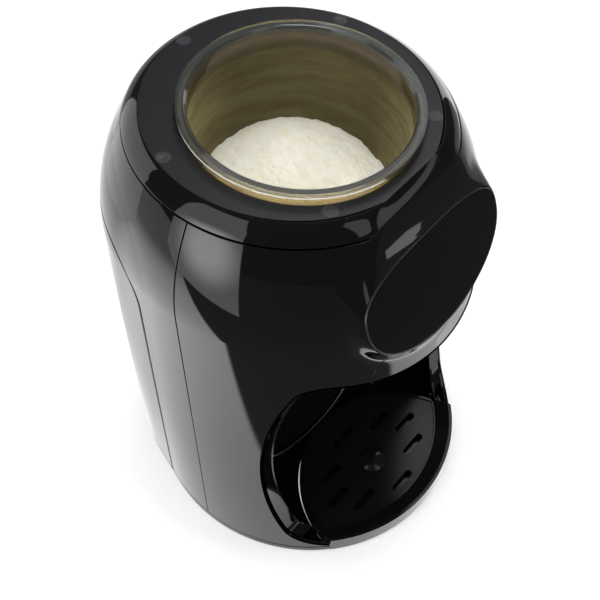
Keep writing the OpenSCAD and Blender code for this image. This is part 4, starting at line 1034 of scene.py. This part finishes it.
cheekTrims = [
    lambda p: -bayWindow(p),
    lambda p: np.hypot(p[:, 0], p[:, 1] - backCentre) - bayForm["backRadius"] - linerForm["overlap"],
    linerTray,
]
linerEdge = (linerForm["edge"], linerForm["wall"])
cheekAngles = angles(-linerForm["cheekAngle"], linerForm["cheekAngle"])
cheekHeights = np.arange(linerForm["lowZ"], linerForm["highZ"], linerForm["cheekStep"])
cheekSkin = makeSkin("bayCheeks", cheekPoint, cheekAngles, cheekHeights, cheekTrims, *linerEdge)
backTrims = [
    lambda p: planDistance(p[:, 0], p[:, 1], p[:, 2]) + bayForm["cheek"] - linerForm["overlap"],
    lambda p: -bayWindow(p),
    linerTray,
]
backAcross = np.linspace(-linerForm["backHalf"], linerForm["backHalf"], linerForm["backColumns"])
backHeights = np.arange(linerForm["lowZ"], linerForm["highZ"], linerForm["backStep"])
backSkin = makeSkin("bayBack", backPoint, backAcross, backHeights, backTrims, *linerEdge, steps=(0.05, 0.05))


def bisect(isInside, low, high):
    for _ in range(40):
        middle = (low + high) / 2
        inside = isInside(middle)
        low, high = np.where(inside, middle, low), np.where(inside, high, middle)
    return low


def landPoints():
    # where the bay's outline runs, seen from the side, with the direction into the opening
    y0, z0 = linerForm["middle"]
    turn = np.linspace(*linerForm["turn"], linerForm["turnSteps"])

    def inWindow(r):
        return bayWindow(np.stack([0 * r, y0 + r * np.cos(turn), z0 + r * np.sin(turn)], 1)) < 0

    r = bisect(inWindow, np.zeros(len(turn)), np.full(len(turn), linerForm["farthest"]))
    y, z = y0 + r * np.cos(turn), z0 + r * np.sin(turn)
    dy, dz = np.gradient(y), np.gradient(z)
    size = np.hypot(dy, dz)
    return y, z, -dz / size, dy / size


def sideX(y, z, inset):
    far = np.full(len(y), linerForm["farthest"] - 30)
    return bisect(lambda x: planDistance(x, y, z) < -inset, np.zeros(len(y)), far)


def makeLand():
    y, z, ny, nz = landPoints()
    inner, outer = sideX(y, z, bayForm["cheek"]), sideX(y, z, linerForm["land"])
    points, normals, faces = [], [], []
    count = len(y)
    for side in (-1, 1):
        base = sum(len(p) for p in points)
        for x in (inner, outer):
            points.append(np.stack([side * x, y, z], 1))
            normals.append(np.stack([0 * y, ny, nz], 1))
        index = base + np.arange(2 * count).reshape(2, count)
        quad = np.stack([index[0, :-1], index[0, 1:], index[1, 1:], index[1, :-1]], 1)
        faces += (quad if side < 0 else quad[:, ::-1]).tolist()
    return makeMesh("bayLand", np.concatenate(points), faces, np.concatenate(normals))


for piece in (cheekSkin, backSkin, makeLand()):
    finishPiece(piece, "bay_liner", "housing")
print("bay liner built")

bezelForm = {
    # distance out from the display's outline, and height over its face
    "profile": [
        (-0.1, -1.0), (0.0, -0.1), (0.12, 0.22), (0.42, 0.38),
        (0.72, 0.22), (0.84, -0.1), (0.9, -0.8), (1.4, -1.6),
    ],
    "count": 480,
}


def makeBezel():
    tilt = math.radians(displayForm["tilt"])
    a = np.linspace(0, 2 * math.pi, bezelForm["count"], endpoint=False)
    r = outlineRadius(a)
    u, v = r * np.cos(a), r * np.sin(a)
    du, dv = np.roll(u, -1) - np.roll(u, 1), np.roll(v, -1) - np.roll(v, 1)
    size = np.hypot(du, dv)
    ou, ov = dv / size, -du / size
    profile = np.array(bezelForm["profile"])
    slope = np.gradient(profile, axis=0)
    slope /= np.linalg.norm(slope, axis=1)[:, None]
    points, normals = [], []

    def place(x, w, h):
        sine, cosine = math.sin(tilt), math.cos(tilt)
        return np.stack([x, w * sine - h * cosine, w * cosine + h * sine], 1)

    start = np.array([0, displayForm["y"], displayForm["z"]])
    for (o, h), (so, sh) in zip(profile, slope):
        points.append(start + place(u + ou * o, v + ov * o, np.full(len(u), h)))
        normals.append(place(-ou * sh, -ov * sh, np.full(len(u), so)))
    faces = ringFaces(len(profile), len(a), flip=True)
    return makeMesh("bezelRing", np.concatenate(points), faces, np.concatenate(normals))


finishPiece(makeBezel(), "display_bezel", "housing")
print("bezel built")


# powder
powderForm = {
    "y": 25.9,
    "radius": 63.6,
    "lowZ": 218.6,
    "edgeZ": 222.5,
    "topZ": 243.5,
    "peak": (24.0, 22.0),
    "spread": 50.0,
    "lump": 2.4,
    "lumpScale": 0.09,
    "clump": 4.2,  # size of the crumbs, from one to the next
    "clumpHeight": 3.2,
    "rings": 150,
    "around": 420,
    "sink": 0.4,
}


def clumps(x, y, size, seed):
    # rounded crumbs that touch each other, on a shaken grid
    gx, gy = np.floor(x / size), np.floor(y / size)
    best = np.full(x.shape, 9.0)
    for i in (-1, 0, 1):
        for j in (-1, 0, 1):
            cx, cy = gx + i, gy + j
            mixed = np.sin(cx * 127.1 + cy * 311.7 + seed) * 43758.5453
            other = np.sin(cx * 269.5 + cy * 183.3 + seed) * 43758.5453
            px, py = cx + mixed - np.floor(mixed), cy + other - np.floor(other)
            best = np.minimum(best, (x / size - px) ** 2 + (y / size - py) ** 2)
    return np.sqrt(np.maximum(1 - best, 0))


def makeHeap():
    rings, around = powderForm["rings"], powderForm["around"]
    r = np.linspace(0, 1, rings)[:, None] * np.ones((1, around)) * powderForm["radius"]
    a = np.linspace(0, 2 * math.pi, around, endpoint=False)[None, :] * np.ones((rings, 1))
    x, y = r * np.cos(a), r * np.sin(a)
    away = (x - powderForm["peak"][0]) ** 2 + (y - powderForm["peak"][1]) ** 2
    rise = powderForm["topZ"] - powderForm["edgeZ"]
    z = powderForm["edgeZ"] + rise * np.exp(-away / powderForm["spread"] ** 2)
    lumps, scale = np.zeros(z.shape), powderForm["lumpScale"]
    for i in range(rings):
        for j in range(around):
            spot = Vector((x[i, j] * scale, y[i, j] * scale, 3.1))
            lumps[i, j] = powderForm["lump"] * noise.turbulence(spot, 3, False)
    size = powderForm["clump"]
    coarse, fine = clumps(x, y, size, 2.0), clumps(x + 9, y - 5, size * 0.45, 5.0)
    lumps += powderForm["clumpHeight"] * (0.6 * coarse + 0.4 * fine)
    calm = np.clip((1 - r / powderForm["radius"]) * 12, 0.85, 1)
    z = z + (lumps - lumps.mean()) * calm - powderForm["sink"]
    points = [np.stack([x.ravel(), y.ravel() + powderForm["y"], z.ravel()], 1)]
    points.append(np.stack([x[-1], y[-1] + powderForm["y"], np.full(around, powderForm["lowZ"])], 1))
    faces = ringFaces(rings + 1, around, flip=True).tolist()
    faces.append(list(range(rings * around, (rings + 1) * around)))
    return makeMesh("powderHeap", np.concatenate(points), faces)


heap = makeHeap()
finishPiece(heap, "formula_powder", "hopper")
print("powder heaped")

filmForm = {"radius": 63.85, "lowZ": 212.0, "highZ": 299.0, "around": 240, "rows": 24}


def makeFilm():
    around, rows = filmForm["around"], filmForm["rows"]
    a = np.linspace(0, 2 * math.pi, around, endpoint=False)
    x = np.tile(filmForm["radius"] * np.cos(a), rows)
    y = np.tile(powderForm["y"] + filmForm["radius"] * np.sin(a), rows)
    z = np.repeat(np.linspace(filmForm["lowZ"], filmForm["highZ"], rows), around)
    return makeMesh("powderFilmAndPaintedShade", np.stack([x, y, z], 1), ringFaces(rows, around, flip=True))


film = makeFilm()
film.data.materials.append(makeDustFilmAndPaintedShade())
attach(film, "hopper")
print("powder film laid on the hopper's wall")


# floor, surroundings and lamps
studio = {
    "floorSize": 6.0,
    "floorWhite": 0.86,
    "floorLift": 0.46,  # how much the camera's own view of the floor is lifted towards white
    "nearFloor": 1.35,  # what polished faces see of the lit floor beside the machine
    "farFloor": 2.5,
    "risePath": (0.13, 0.30),  # distances between which the one turns into the other
    "fallPath": (0.45, 0.95),
    "fallShare": 0.32,
    "darkFloor": 0.13,
    "edgePoint": (-0.190, -0.050),  # a point on the line where the lit part ends
    "edgeDirection": (-0.888, 0.461),
    "edgeBlend": 0.006,
    "rightEdge": -0.007,  # the floor in front is lit again to the right of this line
    "rightBlend": 0.01,
    "rightShare": 0.75,
    "rightReach": 0.37,
    "rightFade": 0.05,
    "rearAlong": (0.82, 0.57, 0),
    "rearPath": (-0.04, 0.09),
    "rearShare": 0.5,
    "world": 0.55,
    "worldGloss": 0.09,
}


def stagePiece(name, corners):
    mesh = bpy.data.meshes.new(name)
    mesh.from_pydata(corners, [], [tuple(range(len(corners)))])
    piece = bpy.data.objects.new(name, mesh)
    scene.collection.objects.link(piece)
    material = bpy.data.materials.new(name)
    material.use_nodes = True
    material.node_tree.nodes.clear()
    mesh.materials.append(material)
    return piece, material.node_tree


def mixShaders(tree, factor, a, b):
    node = addNode(tree, "ShaderNodeMixShader")
    for key, source in (("Fac", factor), (1, a), (2, b)):
        tree.links.new(source, node.inputs[key])
    return node.outputs[0]


def floorGlow(tree, place):
    # what polished faces see of the floor: lit behind one line and in front to the right
    def soft(value, path, fromLevel=0.0, toLevel=1.0):
        return ramp(tree, value, *path, fromLevel, toLevel, smooth=True)

    def around(middle, blend):
        return (middle - blend, middle + blend)

    dx, dy = studio["edgeDirection"]
    offset = studio["edgePoint"][0] * dy - studio["edgePoint"][1] * dx
    away = addNode(tree, "ShaderNodeVectorMath", operation="LENGTH")
    split = addNode(tree, "ShaderNodeSeparateXYZ")
    tree.links.new(place, away.inputs[0])
    tree.links.new(place, split.inputs["Vector"])
    far = away.outputs["Value"]
    behind = soft(alongDirection(tree, place, (dy, -dx, 0)), around(offset, studio["edgeBlend"]))
    rightward = soft(split.outputs["X"], around(studio["rightEdge"], studio["rightBlend"]))
    reach = (studio["rightReach"], studio["rightReach"] + studio["rightFade"])
    nearby = soft(far, reach, studio["rightShare"], 0)
    lit = combine(tree, "MAXIMUM", behind, combine(tree, "MULTIPLY", rightward, nearby))
    rise = soft(far, studio["risePath"], studio["nearFloor"], studio["farFloor"])
    fall = soft(far, studio["fallPath"], 1.0, studio["fallShare"])
    along = alongDirection(tree, place, studio["rearAlong"])
    rear = soft(along, studio["rearPath"], 1.0, studio["rearShare"])
    fall = combine(tree, "MULTIPLY", fall, rear)
    bright = combine(tree, "MULTIPLY", combine(tree, "MULTIPLY", rise, fall), lit)
    level = addNode(tree, "ShaderNodeMath", {1: studio["darkFloor"]}, operation="MAXIMUM")
    tree.links.new(bright, level.inputs[0])
    return level.outputs[0]


def makeFloor():
    size = studio["floorSize"]
    corners = [(-size, -size, 0), (size, -size, 0), (size, size, 0), (-size, size, 0)]
    floor, tree = stagePiece("studioFloor", corners)
    link = tree.links.new
    out = addNode(tree, "ShaderNodeOutputMaterial")
    diffuse = addNode(tree, "ShaderNodeBsdfDiffuse", {"Color": (studio["floorWhite"],) * 3 + (1,)})
    lift = addNode(tree, "ShaderNodeEmission")
    seen = addNode(tree, "ShaderNodeAddShader")
    glossy = addNode(tree, "ShaderNodeEmission")
    path = addNode(tree, "ShaderNodeLightPath")
    place = addNode(tree, "ShaderNodeNewGeometry").outputs["Position"]
    direct = combine(tree, "MAXIMUM", path.outputs["Is Camera Ray"], path.outputs["Is Transmission Ray"])
    link(floorGlow(tree, place), glossy.inputs["Strength"])
    link(ramp(tree, direct, 0, 1, 0, studio["floorLift"]), lift.inputs["Strength"])
    link(diffuse.outputs[0], seen.inputs[0])
    link(lift.outputs[0], seen.inputs[1])
    both = mixShaders(tree, path.outputs["Is Glossy Ray"], seen.outputs[0], glossy.outputs[0])
    link(both, out.inputs["Surface"])


def makeWorld():
    world = bpy.data.worlds.new("studioWorld")
    world.use_nodes = True
    scene.world = world
    tree = world.node_tree
    tree.nodes.clear()
    out = addNode(tree, "ShaderNodeOutputWorld")
    rays = addNode(tree, "ShaderNodeLightPath").outputs

    def background(strength):
        return addNode(tree, "ShaderNodeBackground", {"Strength": strength}).outputs[0]

    around, glossy = background(studio["world"]), background(studio["worldGloss"])
    lit = mixShaders(tree, rays["Is Glossy Ray"], around, glossy)
    seen = mixShaders(tree, rays["Is Camera Ray"], lit, background(1.0))
    tree.links.new(seen, out.inputs["Surface"])


def addLamp(name, place, aim, size, radiance, spread=math.pi):
    # an area lamp whose face has the given radiance, and which polished faces don't see
    data = bpy.data.lights.new(name, "AREA")
    data.shape = "RECTANGLE"
    data.size, data.size_y = size
    data.energy = radiance * size[0] * size[1] * math.pi
    data.spread = spread
    lamp = bpy.data.objects.new(name, data)
    scene.collection.objects.link(lamp)
    direction = Vector(aim) - Vector(place)
    lamp.location = place
    lamp.rotation_euler = direction.to_track_quat("-Z", "Y").to_euler()
    lamp.visible_camera = False
    lamp.visible_glossy = False


def addCard(name, corners, level, core=None):
    # a glowing card that only polished faces see; core is (place, radius, level)
    card, tree = stagePiece(name, corners)
    glow = addNode(tree, "ShaderNodeEmission", {"Strength": level})
    out = addNode(tree, "ShaderNodeOutputMaterial")
    tree.links.new(glow.outputs[0], out.inputs["Surface"])
    if core:
        middle, radius, coreLevel = core
        away = addNode(tree, "ShaderNodeVectorMath", {1: middle}, operation="DISTANCE")
        tree.links.new(addNode(tree, "ShaderNodeNewGeometry").outputs["Position"], away.inputs[0])
        shine = ramp(tree, away.outputs["Value"], 0.2 * radius, radius, coreLevel, level, smooth=True)
        tree.links.new(shine, glow.inputs["Strength"])
    for flag in ("camera", "diffuse", "transmission", "volume_scatter", "shadow"):
        setattr(card, "visible_" + flag, False)


lamps = {  # place, aim, size and radiance
    "windowBox": ((-0.70, 0.06, 0.35), (0, 0.03, 0.225), (0.5, 0.5), 2.4),
    "topBox": ((0.15, 0.35, 1.5), (0, 0, 0.2), (0.9, 0.9), 2.6),
    "rightBox": ((0.95, 0.55, 0.7), (0, 0.02, 0.25), (0.5, 0.6), 2.4),
    "powderLamp": ((0.02, 0.0, 1.3), (0.0, 0.026, 0.25), (0.16, 0.16), 0.9, math.radians(20)),
}
leftX, backY, frontY, rightX = -0.42, 0.5, -0.5, 0.5
leftCore = ((leftX, 0.04, 0.29), 0.165, 5.2)
leftCorners = [(-0.09, 0.075), (0.16, 0.14), (0.21, 0.2), (0.21, 0.45), (0.33, 1.1), (0.0, 1.1), (-0.09, 0.5)]
backCorners = [(-0.42, 0.0), (0.0, 0.0), (0.02, 0.46), (-0.26, 0.72), (-0.42, 0.40)]
frontCorners = [(-0.12, 0.40), (0.12, 0.38), (0.05, 1.0), (-0.03, 1.1), (-0.11, 0.9)]
rightCorners = [(-0.01, 0.10), (0.34, 0.06), (0.20, 0.30), (-0.01, 0.44)]
bandCorners = [
    (0.275, 0.285), (0.33, 0.287), (0.365, 0.30), (0.385, 0.32), (0.40, 0.345), (0.40, 0.36), (0.39, 0.352),
    (0.375, 0.335), (0.35, 0.32), (0.32, 0.318), (0.305, 0.33), (0.30, 0.345), (0.285, 0.345),
]
lowCorners = [(0.272, 0.182), (0.31, 0.18), (0.335, 0.16), (0.335, 0.125), (0.32, 0.12), (0.275, 0.15)]
highCorners = [(0.30, 0.05, 0.95), (0.62, 0.05, 0.85), (0.62, 0.45, 0.85), (0.30, 0.45, 0.95)]
makeFloor()
makeWorld()
for name, details in lamps.items():
    addLamp(name, *details)
addCard("leftCard", [(leftX, y, z) for y, z in leftCorners], 1.5, leftCore)
addCard("backCard", [(x, backY, z) for x, z in backCorners], 1.5)
addCard("frontCard", [(x, frontY, z) for x, z in frontCorners], 1.0)
addCard("bandCard", [(x, frontY, z) for x, z in bandCorners], 0.8)
addCard("lowCard", [(x, frontY, z) for x, z in lowCorners], 1.6)
addCard("highCard", highCorners, 1.3)
addCard("rightCard", [(rightX, y, z) for y, z in rightCorners], 2.2)
print("studio lit")
